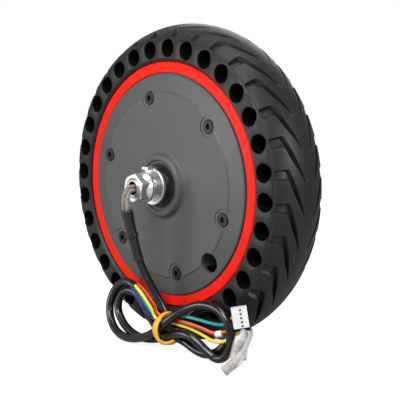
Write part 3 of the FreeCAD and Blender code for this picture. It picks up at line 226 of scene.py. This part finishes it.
for part in frame["record"]["subparts"]:
    for held in nodes[part["node"]].material_slots:
        held.material = FINISH[part["material_slot"]]

floor_mesh = bpy.data.meshes.new("floor")
floor_corners = [(x * FLOOR_HALF, y * FLOOR_HALF, FLOOR_Z)
                 for x, y in ((-1, -1), (1, -1), (1, 1), (-1, 1))]
floor_mesh.from_pydata(floor_corners, [], [(0, 1, 2, 3)])
floor = bpy.data.objects.new("floor", floor_mesh)
floor_paint = bpy.data.materials.new("floor_paint")
floor_paint.use_nodes = True
floor_tree = floor_paint.node_tree
paint = floor_tree.nodes["Principled BSDF"]
paint.inputs["Base Color"].default_value = FLOOR_GREY
paint.inputs["Roughness"].default_value = FLOOR_ROUGHNESS
paint.inputs["Specular IOR Level"].default_value = 0.0
paint.inputs["Emission Color"].default_value = WHITE
paint.inputs["Emission Strength"].default_value = FLOOR_GLOW
plain_paint = floor_tree.nodes.new("ShaderNodeBsdfDiffuse")
plain_paint.inputs["Color"].default_value = FLOOR_GREY
seen_or_lighting(floor_tree, plain_paint, paint, floor_tree.nodes["Material Output"])
floor_mesh.materials.append(floor_paint)
scene.collection.objects.link(floor)


def piece(name, mesh, slots, body="stator", replaces=()):
    """Links a mesh or curve as a piece that rides on a body, with the finishes of these slots."""
    made = bpy.data.objects.new(name, mesh)
    scene.collection.objects.link(made)
    for slot in slots:
        mesh.materials.append(FINISH[slot])
    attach(made, body)
    if replaces:
        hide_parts(*replaces)
    return made


# ---------------------------------------------------------------- cords
# Routes, radii and lengths are in metres. Each route's points are those of its NURBS spline.
LEAD_ROUTE = [
    (0, -0.035, 0), (0, -0.043, 0), (0, -0.049, 0), (0.0001, -0.0534, -0.0006),
    (0.0004, -0.056, -0.0046), (0.0009, -0.0562, -0.011), (0.0012, -0.054, -0.021),
    (0.0015, -0.0508, -0.0335), (0.0017, -0.0464, -0.048),
]
CABLE_ROUTE = [
    (0.0012, -0.054, -0.021), (0.0015, -0.0508, -0.0335), (0.0017, -0.0464, -0.048),
    (0.0046, -0.0396, -0.0638), (0.0092, -0.034, -0.0766), (0.0144, -0.0324, -0.0876),
    (0.023, -0.0308, -0.0898), (0.0308, -0.0282, -0.0826), (0.0382, -0.0262, -0.0766),
    (0.047, -0.0257, -0.0738), (0.0554, -0.0257, -0.0754), (0.061, -0.0257, -0.0808),
    (0.0632, -0.0259, -0.0884), (0.0616, -0.027, -0.096), (0.0564, -0.0296, -0.1016),
    (0.0486, -0.032, -0.1034), (0.0404, -0.033, -0.1016), (0.0326, -0.0332, -0.0986),
    (0.025, -0.0332, -0.0972), (0.017, -0.0332, -0.0984), (0.007, -0.035, -0.101),
    (-0.004, -0.0364, -0.1028), (-0.0146, -0.0364, -0.1028), (-0.0244, -0.0356, -0.1),
    (-0.0322, -0.0342, -0.096), (-0.038, -0.0328, -0.0908), (-0.0392, -0.0318, -0.0832),
    (-0.0352, -0.0304, -0.0766), (-0.0276, -0.0292, -0.074), (-0.02, -0.0286, -0.0774),
    (-0.011, -0.0302, -0.0842), (-0.0015, -0.0326, -0.0902), (0.008, -0.036, -0.0944),
    (0.0182, -0.0384, -0.0958), (0.027, -0.0392, -0.093), (0.0346, -0.0392, -0.091),
    (0.042, -0.0386, -0.0912), (0.049, -0.0374, -0.095), (0.0556, -0.036, -0.0998),
    (0.0622, -0.0348, -0.103), (0.0686, -0.0338, -0.1006), (0.0722, -0.033, -0.0944),
    (0.0726, -0.0326, -0.0866), (0.0702, -0.0324, -0.079), (0.065, -0.0322, -0.0736),
    (0.0582, -0.0322, -0.0712), (0.0508, -0.0324, -0.0708), (0.043, -0.0334, -0.072),
    (0.0354, -0.0358, -0.0756), (0.0286, -0.0396, -0.0804), (0.0224, -0.0424, -0.086),
    (0.0154, -0.0422, -0.0918), (0.0074, -0.0429, -0.097), (-0.0016, -0.0427, -0.1006),
    (-0.0106, -0.0423, -0.103), (-0.0194, -0.0416, -0.104), (-0.0284, -0.0402, -0.1032),
    (-0.0366, -0.0386, -0.0998), (-0.0426, -0.0366, -0.0936), (-0.045, -0.0346, -0.0852),
    (-0.043, -0.0326, -0.077), (-0.0372, -0.0312, -0.0706), (-0.0292, -0.0304, -0.068),
    (-0.022, -0.0303, -0.0708),
]
PHASE_ROUTES = {
    "u": [
        (-0.0252, -0.0304, -0.0702), (-0.0187, -0.0306, -0.074), (-0.0099, -0.0321, -0.0802),
        (-0.0013, -0.0342, -0.0844), (0.0074, -0.0362, -0.0858), (0.0134, -0.0366, -0.0838),
        (0.0186, -0.0368, -0.0822), (0.027, -0.0354, -0.0812), (0.038, -0.0346, -0.0808),
        (0.048, -0.0332, -0.0814), (0.057, -0.0316, -0.0822), (0.0635, -0.0294, -0.0818),
        (0.0695, -0.0252, -0.082), (0.076, -0.0266, -0.0822), (0.0822, -0.0316, -0.0817),
        (0.0834, -0.0346, -0.0876), (0.0816, -0.0358, -0.092),
    ],
    "v": [
        (-0.0238, -0.0306, -0.0693), (-0.0163, -0.0309, -0.0726), (-0.0071, -0.0325, -0.0785),
        (0.0015, -0.0346, -0.0827), (0.0088, -0.0396, -0.0848), (0.014, -0.039, -0.0868),
        (0.0186, -0.0368, -0.0868), (0.027, -0.036, -0.087), (0.038, -0.0352, -0.0876),
        (0.048, -0.0336, -0.0902), (0.057, -0.0318, -0.0936), (0.0645, -0.0306, -0.0924),
        (0.0706, -0.0276, -0.087), (0.0766, -0.0246, -0.0836), (0.0806, -0.0262, -0.0872),
        (0.0785, -0.0288, -0.094),
    ],
    "w": [
        (-0.025, -0.0316, -0.0707), (-0.0183, -0.0326, -0.0748), (-0.0094, -0.0345, -0.0811),
        (-0.0008, -0.0366, -0.0853), (0.0084, -0.0382, -0.0878), (0.014, -0.0368, -0.0864),
        (0.0186, -0.0348, -0.0844), (0.027, -0.0342, -0.0846), (0.038, -0.0326, -0.0852),
        (0.0485, -0.0312, -0.0874), (0.057, -0.0306, -0.0902), (0.0636, -0.0311, -0.0902),
        (0.0706, -0.0234, -0.0852), (0.0792, -0.0218, -0.0822), (0.085, -0.0276, -0.0838),
        (0.0878, -0.0344, -0.088), (0.0889, -0.0392, -0.0924), (0.088, -0.0414, -0.0956),
    ],
}
HALL_ROUTE = [
    (-0.0241, -0.0292, -0.0688), (-0.0167, -0.0286, -0.0716), (-0.0075, -0.0298, -0.0774),
    (0.0011, -0.0319, -0.0816), (0.0088, -0.0382, -0.0819), (0.0138, -0.0398, -0.0832),
    (0.0186, -0.039, -0.0848), (0.027, -0.0366, -0.0847), (0.038, -0.0364, -0.0849),
    (0.0485, -0.0344, -0.0862), (0.0572, -0.0326, -0.0884), (0.0628, -0.0312, -0.0872),
    (0.0672, -0.0294, -0.0854), (0.0704, -0.0276, -0.0816), (0.0716, -0.0284, -0.077),
    (0.073, -0.0312, -0.0749), (0.0752, -0.0342, -0.0746),
]
TIE_LOOP = [
    (0.0186, -0.038, -0.0822), (0.0176, -0.043, -0.0832), (0.0168, -0.0462, -0.087),
    (0.0168, -0.047, -0.0916), (0.0176, -0.0454, -0.0964), (0.019, -0.0416, -0.0996),
    (0.0196, -0.0364, -0.1016), (0.0194, -0.031, -0.1016), (0.019, -0.0284, -0.098),
    (0.0186, -0.028, -0.092), (0.0182, -0.0288, -0.0864), (0.0182, -0.0316, -0.0824),
    (0.0186, -0.0364, -0.0806), (0.0188, -0.0426, -0.0818), (0.0196, -0.0472, -0.0864),
    (0.0198, -0.048, -0.092), (0.0206, -0.0464, -0.0974), (0.023, -0.0434, -0.0994),
    (0.026, -0.041, -0.0986), (0.0286, -0.0394, -0.097),
]

CABLE_RADIUS = 0.0028
PHASE_RADIUS = 0.0011
CORD_STEPS = 14
CORD_ROUNDNESS = 7


def nurbs(name, points, radius=0.0):
    """Curve with one NURBS spline through a route, with a round section of that radius."""
    data = bpy.data.curves.new(name, "CURVE")
    data.dimensions = "3D"
    spline = data.splines.new("NURBS")
    spline.points.add(len(points) - 1)
    for held, point in zip(spline.points, points):
        held.co = (*point, 1)
    spline.order_u = 3
    spline.use_endpoint_u = True
    data.resolution_u = CORD_STEPS
    data.bevel_depth = radius
    data.bevel_resolution = CORD_ROUNDNESS
    data.use_fill_caps = True
    return data


def line_of(name, points):
    """Points along the route's NURBS spline, read from a curve with no bevel."""
    data = nurbs(name, points)
    held = bpy.data.objects.new(name, data)
    mesh = bpy.data.meshes.new_from_object(held)
    line = [v.co.copy() for v in mesh.vertices]
    bpy.data.objects.remove(held)
    bpy.data.curves.remove(data)
    bpy.data.meshes.remove(mesh)
    return line


def measured(line):
    """Distance along the line at each of its points."""
    along = [0.0]
    for a, b in zip(line, line[1:]):
        along.append(along[-1] + (b - a).length)
    return along


def stretch_of(line, start, end):
    """The part of a line from one distance along it to another."""
    along = measured(line)
    inner = [p for p, s in zip(line, along) if start < s < end]

    def at(distance):
        for i in range(1, len(line)):
            if along[i] >= distance:
                part = (distance - along[i - 1]) / (along[i] - along[i - 1])
                return line[i - 1].lerp(line[i], part)
        return line[-1].copy()

    return [at(start)] + inner + [at(end)]


def frames(line):
    """A sideways pair at each point of a line, turned as little as the line allows."""
    found = []
    side = None
    for i in range(len(line)):
        way = (line[min(i + 1, len(line) - 1)] - line[max(i - 1, 0)]).normalized()
        if side is None:
            side = way.cross(Vector((0, 0, 1)) if abs(way.z) < 0.9 else Vector((1, 0, 0)))
        side = (side - way * side.dot(way)).normalized()
        found.append((side.copy(), way.cross(side)))
    return found


def ramp(x, low, high):
    """Smooth rise from 0 at low to 1 at high."""
    t = min(max((x - low) / (high - low), 0), 1)
    return t * t * (3 - 2 * t)


def tube_faces(line, radii, sides, verts, faces, flat=1.0, cap=True):
    """Adds a tube round a line to the vertices and faces. flat is its height over its width."""
    first = len(verts)
    for (right, up), point, radius in zip(frames(line), line, radii):
        for k in range(sides):
            a = 2 * math.pi * k / sides
            sideways, upwards = radius * math.cos(a), radius * flat * math.sin(a)
            verts.append(point + right * sideways + up * upwards)
    rings = len(line)
    for i in range(rings - 1):
        for k in range(sides):
            a, b = first + i * sides + k, first + i * sides + (k + 1) % sides
            faces.append((a, b, b + sides, a + sides))
    if cap:
        faces.append(tuple(first + k for k in reversed(range(sides))))
        faces.append(tuple(first + (rings - 1) * sides + k for k in range(sides)))


def finished(name, verts, faces, angle=40, slots_of=None):
    """Mesh with smooth faces and sharp edges where it turns by more than the angle."""
    mesh = bpy.data.meshes.new(name)
    mesh.from_pydata([tuple(v) for v in verts], [], faces)
    mesh.validate()
    for i, face in enumerate(mesh.polygons):
        face.use_smooth = True
        if slots_of:
            face.material_index = slots_of[i]
    mesh.set_sharp_from_angle(angle=math.radians(angle))
    mesh.update()
    return mesh


def strand_round(line, strand, count, offset, twist, turn=0.0):
    """Line of one of several strands laid round a line, with a twist in radians a metre."""
    laid = []
    for (right, up), point, s in zip(frames(line), line, measured(line)):
        a = 2 * math.pi / count * strand + s * twist + turn
        laid.append(point + right * (offset * math.cos(a)) + up * (offset * math.sin(a)))
    return laid


lead_line = line_of("lead_line", LEAD_ROUTE)
cable_line = line_of("cable_line", CABLE_ROUTE)
hall_line = line_of("hall_line", HALL_ROUTE)

# sleeved leads from the axle's bore: four strands laid round each other
SLEEVING_END = 0.0375
STRANDS = 4
STRAND_OFFSET = 0.0017
STRAND_RADIUS = 0.0013
STRAND_TWIST = 70
STRAND_SIDES = 12
lead_path = stretch_of(lead_line, 0.0, SLEEVING_END)
verts, faces = [], []
for strand in range(STRANDS):
    line = strand_round(lead_path, strand, STRANDS, STRAND_OFFSET, STRAND_TWIST)
    tube_faces(line, [STRAND_RADIUS] * len(line), STRAND_SIDES, verts, faces)
lead_sleeving = piece("sleeved_leads", finished("sleeved_leads", verts, faces), ["sleeving"],
                      replaces=["lead_sleeving"])

SLEEVE_SIDES = 28
ROUNDING = 1e-9


def sleeve(name, line, profile, slot, replaces):
    """Closed sleeve round a line. profile is (distance along the line, radius) from end to end."""
    start, end = profile[0][0], profile[-1][0]
    held = stretch_of(line, start, end)
    radii = []
    for s in measured(held):
        s += start
        for (a, ra), (b, rb) in zip(profile, profile[1:]):
            if s <= b + ROUNDING:
                break
        radii.append(ra + (rb - ra) * min(max((s - a) / (b - a), 0), 1))
    verts, faces = [], []
    tube_faces(held, radii, SLEEVE_SIDES, verts, faces)
    return piece(name, finished(name, verts, faces), [slot], replaces=replaces)


# two lengths of heat shrink over the join between leads and jacket
UPPER_SHRINK = [(0.0315, 0.0031), (0.0318, 0.0037), (0.0350, 0.00385), (0.0395, 0.0036),
                (0.0474, 0.0036), (0.0480, 0.0041), (0.0500, 0.0041), (0.0503, 0.0033)]
LOWER_SHRINK = [(0.0495, 0.0030), (0.0500, 0.0034), (0.0530, 0.0035), (0.0545, 0.0033),
                (0.0644, 0.0033), (0.0650, 0.0037), (0.0662, 0.0037), (0.0665, 0.0029)]
shrink_upper = sleeve("heat_shrink_top", lead_line, UPPER_SHRINK, "shrink",
                      ["heat_shrink_upper"])
shrink_lower = sleeve("heat_shrink_bottom", lead_line, LOWER_SHRINK, "shrink",
                      ["heat_shrink_lower"])

motor_cable = piece("jacketed_cable", nurbs("jacketed_cable", CABLE_ROUTE, CABLE_RADIUS),
                    ["jacket"], replaces=["motor_cable", "cable_hank"])
for phase, route in PHASE_ROUTES.items():
    name = f"phase_lead_{phase}"
    piece(name, nurbs(name, route, PHASE_RADIUS), [f"wire_{phase}"],
                               replaces=[f"phase_wire_{phase}"])

# where each bullet socket's axis starts, at its wire, and ends, at its open mouth
SOCKET_STARTS = {"u": (0.0822, -0.0349, -0.0866), "v": (0.0782, -0.0282, -0.0888),
                 "w": (0.0880, -0.0414, -0.0956)}
SOCKET_ENDS = {"u": (0.0806, -0.0376, -0.0984), "v": (0.0790, -0.0300, -0.1007),
               "w": (0.0804, -0.0480, -0.1046)}


def socket_axis(phase):
    """(start, direction) of a bullet socket."""
    start = Vector(SOCKET_STARTS[phase])
    return start, (Vector(SOCKET_ENDS[phase]) - start).normalized()


# a clear soft sleeve over each lead's end and its bullet socket, open at both ends
# SLEEVED_WIRE is the length of lead inside each sleeve. The swell is placed by distance from the
# sleeve's mouth.
SLEEVED_WIRE = {"u": 0.0125, "v": 0.0125, "w": 0.0220}
BOOT_LENGTH = 0.012
BOOT_STEPS = 12
BOOT_GAP = 0.0004
BOOT_SIDES = 24
BOOT_WALL = 0.00045
BOOT_NECK = 0.0018
BOOT_SWELL = 0.0018
BOOT_SWELL_FROM, BOOT_SWELL_TO = -0.019, -0.0115
for phase, route in PHASE_ROUTES.items():
    wire_line = line_of("wire_line", route)
    start, way = socket_axis(phase)
    whole = measured(wire_line)[-1]
    upper = [p for p in stretch_of(wire_line, whole - SLEEVED_WIRE[phase], whole)
             if (p - start).dot(way) < -BOOT_GAP]
    line = upper + [start + way * (BOOT_LENGTH * k / BOOT_STEPS) for k in range(BOOT_STEPS + 1)]
    along = measured(line)
    radii = [BOOT_NECK + BOOT_SWELL * ramp(s - along[-1], BOOT_SWELL_FROM, BOOT_SWELL_TO)
             for s in along]
    verts, faces = [], []
    tube_faces(line, radii, BOOT_SIDES, verts, faces, cap=False)
    tube_faces(line, [r - BOOT_WALL for r in radii], BOOT_SIDES, verts, faces, cap=False)
    inner = len(line) * BOOT_SIDES
    last = inner - BOOT_SIDES
    for k in range(BOOT_SIDES):
        n = (k + 1) % BOOT_SIDES
        faces.append((n, k, inner + k, inner + n))
        faces.append((last + k, last + n, inner + last + n, inner + last + k))
    faces = [tuple(reversed(f)) if min(f) >= inner else f for f in faces]
    name = f"clear_sleeve_{phase}"
    piece(name, finished(name, verts, faces), ["clear_sleeve"],
                                 replaces=[f"terminal_sleeve_{phase}"])

# the rolled lip and two waist rings of each bullet socket, seen through its sleeve; their
# near-black steel is painted shade for the socket's shadowed gaps
SOCKET_SHADE_RINGS = (0.0112, 0.0066, 0.0042)
RING_REACH = 0.0027
RING_HALF_HEIGHT = 0.00035
RING_HALF_WIDTH = 0.0007
RING_STEPS = 28
RING_SIDES = 8
for phase in PHASE_ROUTES:
    start, way = socket_axis(phase)
    side, up = frames([start, Vector(SOCKET_ENDS[phase])])[0]
    verts, faces = [], []
    for ring in SOCKET_SHADE_RINGS:
        first = len(verts)
        for i in range(RING_STEPS):
            a = 2 * math.pi * i / RING_STEPS
            outward = side * math.cos(a) + up * math.sin(a)
            for k in range(RING_SIDES):
                b = 2 * math.pi * k / RING_SIDES
                reach = RING_REACH + RING_HALF_HEIGHT * math.cos(b)
                verts.append(start + way * (ring + RING_HALF_WIDTH * math.sin(b)) + outward * reach)
                here, there = first + i * RING_SIDES, first + (i + 1) % RING_STEPS * RING_SIDES
                n = (k + 1) % RING_SIDES
                faces.append((here + k, there + k, there + n, here + n))
    name = f"socket_shade_rings_{phase}"
    # near-black screw steel on real rings, as painted shade rather than the socket's own brass
    piece(name, finished(name, verts, faces), ["screw_steel"])

# five thin sensor wires laid round each other
HALL_WIRES = ["hall_wire", "hall_red", "hall_black", "hall_white", "hall_green"]
HALL_OFFSET = 0.00085
HALL_WIRE_RADIUS = 0.00052
HALL_TWIST = 12
HALL_TURN = 3.7
HALL_SIDES = 10
finish("hall_red", (0.7, 0.03, 0.02), 0.35, 0, 0.08, 0.004)
finish("hall_black", (0.02, 0.02, 0.02), 0.35, 0, 0.08, 0.004)
finish("hall_white", (0.85, 0.84, 0.8), 0.35, 0, 0.05, 0.004)
finish("hall_green", (0.03, 0.3, 0.08), 0.35, 0, 0.08, 0.004)
hall_along = measured(hall_line)
verts, faces, slots_of = [], [], []
for strand in range(len(HALL_WIRES)):
    line = strand_round(hall_line, strand, len(HALL_WIRES), HALL_OFFSET, HALL_TWIST, HALL_TURN)
    before = len(faces)
    tube_faces(line, [HALL_WIRE_RADIUS] * len(line), HALL_SIDES, verts, faces)
    slots_of += [strand] * (len(faces) - before)
hall_mesh = finished("sensor_wires", verts, faces, slots_of=slots_of)
sensor_wires = piece("sensor_wires", hall_mesh, HALL_WIRES, replaces=["hall_wires"])

# the collar on them: (distance along it, radius)
COLLAR_PROFILE = [(0, 0.0016), (0.0004, 0.0021), (0.0046, 0.0021), (0.005, 0.0016)]
COLLAR_FROM_END = 0.0262
collar_place = hall_along[-1] - COLLAR_FROM_END
collar = sleeve("sensor_wire_collar", hall_line, [(collar_place + s, r) for s, r in COLLAR_PROFILE],
                "collar", ["wire_collar"])

# the tie: a soft flat band drawn round the bundle, its tail to the right
TIE_RADIUS = 0.00155
TIE_FLATNESS = 0.62
TIE_SIDES = 20
tie_line = line_of("tie_line", TIE_LOOP)
verts, faces = [], []
tube_faces(tie_line, [TIE_RADIUS] * len(tie_line), TIE_SIDES, verts, faces, flat=TIE_FLATNESS)
tie = piece("bundle_tie", finished("bundle_tie", verts, faces), ["tie"], replaces=["cable_tie"])

# ---------------------------------------------------------------- tyre
# lengths in metres, angles in degrees clockwise from the top seen from the cable's side; y is the
# distance from the tyre's middle, towards the far side
PITCHES = 32
PITCH = 360 / PITCHES
HOLE_RING = 0.090
HOLE_RADIUS = 0.0059
HOLE_PHASE = 2.3
# each hole's rounded lip: (extra radius, depth below the side)
LIP = [(0.00035, 0.0), (0.00012, 0.00010), (0.0, 0.00035)]

TREAD_RADIUS = 0.1068
CROWN_RADIUS = 0.0295
SIDEWALL = 0.0227
SIDE_ROUND_FROM = 0.0932
SIDE_ROUND_RADIUS = 0.0045
SHOULDER_Y = 0.0209
SHOULDER_STEP = 0.0013
SHOULDER_RUN = 0.0002
CELL_TOP = 0.09635
CELL_BOTTOM = 0.0835
SIDE_STEPS = [0.0870, 0.0900, SIDE_ROUND_FROM]
RING_SEAT = 0.0819
RING_SEAT_Y = 0.0213
BED = 0.075
BED_Y = 0.017

# a groove runs from its tip, near the middle, back to its bend and then straight to the shoulder
TIP_Y = 0.0048
TIP_SWEEP = 14.5
TIP_LEAD, TIP_RUN = 0.0008, 0.0004
BEND_Y = 0.0140
BEND_ROUND = 0.0008
GROOVE_END_Y = 0.0212
GROOVE_END_RUN = 0.0007
GROOVE_START = 5.3
TIP_WIDTH = 1.2
ARM_SWELL, ARM_SWELL_FROM, ARM_SWELL_TO = 4.0, TIP_Y - 0.001, 0.0130
HOOK_LOSS, HOOK_LOSS_FROM, HOOK_LOSS_TO = 1.4, 0.0134, 0.0156
FULL_DEPTH = 0.0036
DEPTH_LOSS, DEPTH_LOSS_FROM, DEPTH_LOSS_TO = 0.0004, 0.008, 0.018
# across a groove: (share of its width, share of its depth)
GROOVE_SECTION = [(0.0, 0.0), (0.03, 0.12), (0.1, 1.0), (0.36, 0.96), (0.58, 0.9), (0.78, 0.8),
                  (0.96, 0.12), (1.0, 0.0)]
LAND_BEFORE = (0, 1.5, 3, 4.2, 5.0)
LAND_AFTER = (0.12, 0.45, 0.75)


def crown_place(y):
    """Radius of the tyre's round crown."""
    return TREAD_RADIUS - CROWN_RADIUS + math.sqrt(CROWN_RADIUS**2 - y**2)


def side_place(radius):
    """Distance of the sidewall and its rounded shoulder from the middle."""
    if radius <= SIDE_ROUND_FROM:
        return SIDEWALL
    below = SIDE_ROUND_RADIUS**2 - (radius - SIDE_ROUND_FROM) ** 2
    return SIDEWALL - SIDE_ROUND_RADIUS + math.sqrt(max(below, 0))


def sweep(y):
    """Degrees by which a groove has run on round the tyre."""
    y = abs(y)
    slope = TIP_SWEEP / (BEND_Y - TIP_Y)
    if y >= BEND_Y + BEND_ROUND:
        return 0.0
    if y >= BEND_Y - BEND_ROUND:
        return slope * (BEND_Y + BEND_ROUND - y) ** 2 / (4 * BEND_ROUND)
    run = slope * (BEND_Y - max(y, TIP_Y))
    if y < TIP_Y:
        run += slope * ((TIP_Y - y) - (TIP_Y - y) ** 2 / (2 * TIP_Y))
    return run


def groove_width(y):
    """Degrees from the upper to the lower edge of a groove."""
    y = abs(y)
    swell = ARM_SWELL * ramp(y, ARM_SWELL_FROM, ARM_SWELL_TO)
    return TIP_WIDTH + swell - HOOK_LOSS * ramp(y, HOOK_LOSS_FROM, HOOK_LOSS_TO)


def groove_depth(y):
    """Depth of a groove at its upper wall."""
    y = abs(y)
    full = FULL_DEPTH - DEPTH_LOSS * ramp(y, DEPTH_LOSS_FROM, DEPTH_LOSS_TO)
    starting = ramp(y, TIP_Y - TIP_LEAD, TIP_Y + TIP_RUN)
    return full * starting * (1 - ramp(y, GROOVE_END_Y - GROOVE_END_RUN, GROOVE_END_Y))


def tread_row(y):
    """(degrees from the start of a pitch, depth) of each column of the tread."""
    width, depth = groove_width(y), groove_depth(y)
    end = GROOVE_START + width
    step = SHOULDER_STEP * ramp(abs(y), SHOULDER_Y, SHOULDER_Y + SHOULDER_RUN)
    row = [(place, step) for place in LAND_BEFORE]
    for place, part in GROOVE_SECTION:
        row.append((GROOVE_START + width * place, max(depth * part, step)))
    for part in LAND_AFTER:
        row.append((end + (PITCH - end) * part, step))
    return row


COLUMNS = len(tread_row(0))
HALF_ROWS_MM = [0, 0.8, 1.6, 2.4, 3.2, 3.9, 4.3, 4.55, 4.8, 5.1, 5.4, 5.9, 6.6, 7.5, 8.5, 9.5, 10.5,
                11.5, 12.4, 13.0, 13.4, 13.8, 14.2, 14.6, 15.0, 15.8, 16.8, 17.8, 18.8, 19.6, 20.2,
                20.5, 20.75, 20.9, 21.0, 21.1, 21.3]
HALF_ROWS = [y / 1000 for y in HALF_ROWS_MM]
SAME_PLACE = 2e6
verts, faces = [], []
vertex_at = {}


def corner(radius, degrees, y):
    """Index of the vertex at a place on the tyre, shared where places repeat."""
    a = math.radians(degrees)
    at = (radius * math.sin(a), y, radius * math.cos(a))
    key = tuple(round(c * SAME_PLACE) for c in at)
    if key not in vertex_at:
        vertex_at[key] = len(verts)
        verts.append(at)
    return vertex_at[key]


def pitch_start(k):
    """Degrees at which a pitch of the tread and its sidewall cell start."""
    return HOLE_PHASE - PITCH / 2 + PITCH * k


def strip(lower, upper):
    """Quads between two rows of vertices, left out where the rows meet."""
    for a, b, c, d in zip(lower, lower[1:], upper[1:], upper):
        if len({a, b, c, d}) == 4:
            faces.append((a, b, c, d))


def ring_row(radius_at, y_at, degrees_at):
    """Closed row of vertices right round the tyre. Each argument is a function of the column."""
    row = []
    for k in range(PITCHES):
        for c in range(COLUMNS):
            row.append(corner(radius_at(c), pitch_start(k) + degrees_at(c), y_at(c)))
    return row + row[:1]


def tread_ring(y):
    """Closed row of the tread."""
    row = tread_row(y)
    return ring_row(lambda c: crown_place(y) - row[c][1], lambda c: y,
                    lambda c: row[c][0] + sweep(y))


edge_columns = [place for place, _ in tread_row(HALF_ROWS[-1])]


def side_ring(radius, y):
    """Closed row at one radius, below the tread."""
    return ring_row(lambda c: radius, lambda c: y, lambda c: edge_columns[c])


rows = [tread_ring(-y) for y in reversed(HALF_ROWS)] + [tread_ring(y) for y in HALF_ROWS[1:]]
near_rows = [side_ring(CELL_TOP, -side_place(CELL_TOP))]
far_rows = [side_ring(CELL_TOP, side_place(CELL_TOP))]
for lower, upper in zip(near_rows + rows, rows + far_rows):
    strip(lower, upper)

# bed and the steps that hold the rim rings
near_steps = [(CELL_BOTTOM, -SIDEWALL), (RING_SEAT, -RING_SEAT_Y), (RING_SEAT, -BED_Y),
              (BED, -BED_Y)]
far_steps = [(radius, -y) for radius, y in reversed(near_steps)]
inner_rows = [side_ring(radius, y) for radius, y in near_steps + far_steps]
for lower, upper in zip(inner_rows, inner_rows[1:]):
    strip(upper, lower)


def cell_edge(k):
    """(radius, degrees) round one cell's edge, in order."""
    start = pitch_start(k)
    top = [(CELL_TOP, start + c) for c in edge_columns] + [(CELL_TOP, start + PITCH)]
    right = [(radius, start + PITCH) for radius in reversed(SIDE_STEPS)]
    bottom = [(CELL_BOTTOM, degrees) for _, degrees in reversed(top)]
    left = [(radius, start) for radius in SIDE_STEPS]
    return top + right + bottom + left


def hole_point(k, towards, radius):
    """(radius, degrees) of the point of a hole's edge that faces a point of the cell's edge."""
    a = math.radians(pitch_start(k) + PITCH / 2)
    mx, mz = HOLE_RING * math.sin(a), HOLE_RING * math.cos(a)
    b = math.radians(towards[1])
    dx, dz = towards[0] * math.sin(b) - mx, towards[0] * math.cos(b) - mz
    scale = radius / math.hypot(dx, dz)
    x, z = mx + dx * scale, mz + dz * scale
    return math.hypot(x, z), math.degrees(math.atan2(x, z))


# sidewall cells, each a frame round one hole, and the holes' walls right through the tyre
bores = set()
for k in range(PITCHES):
    edge = cell_edge(k)
    loops = {}
    for sign in (-1, 1):
        outer = [corner(radius, degrees, sign * side_place(radius)) for radius, degrees in edge]
        previous = outer
        for wider, deeper in LIP:
            loop = []
            for towards in edge:
                radius, degrees = hole_point(k, towards, HOLE_RADIUS + wider)
                loop.append(corner(radius, degrees, sign * (side_place(radius) - deeper)))
            a, b = (previous, loop) if sign < 0 else (loop, previous)
            strip(a + a[:1], b + b[:1])
            previous = loop
        loops[sign] = previous
    before = len(faces)
    strip(loops[-1] + loops[-1][:1], loops[1] + loops[1][:1])
    bores.update(range(before, len(faces)))

TYRE_SHARP_FROM = 38
# the holes' walls take the second slot: rubber darkened as painted shade
tyre_slots = [1 if i in bores else 0 for i in range(len(faces))]
tyre_mesh = finished("treaded_tyre", verts, faces, angle=TYRE_SHARP_FROM, slots_of=tyre_slots)
piece("treaded_tyre", tyre_mesh, ["rubber", "rubber_bore_painted_shade"], body="wheel", replaces=["tyre"])
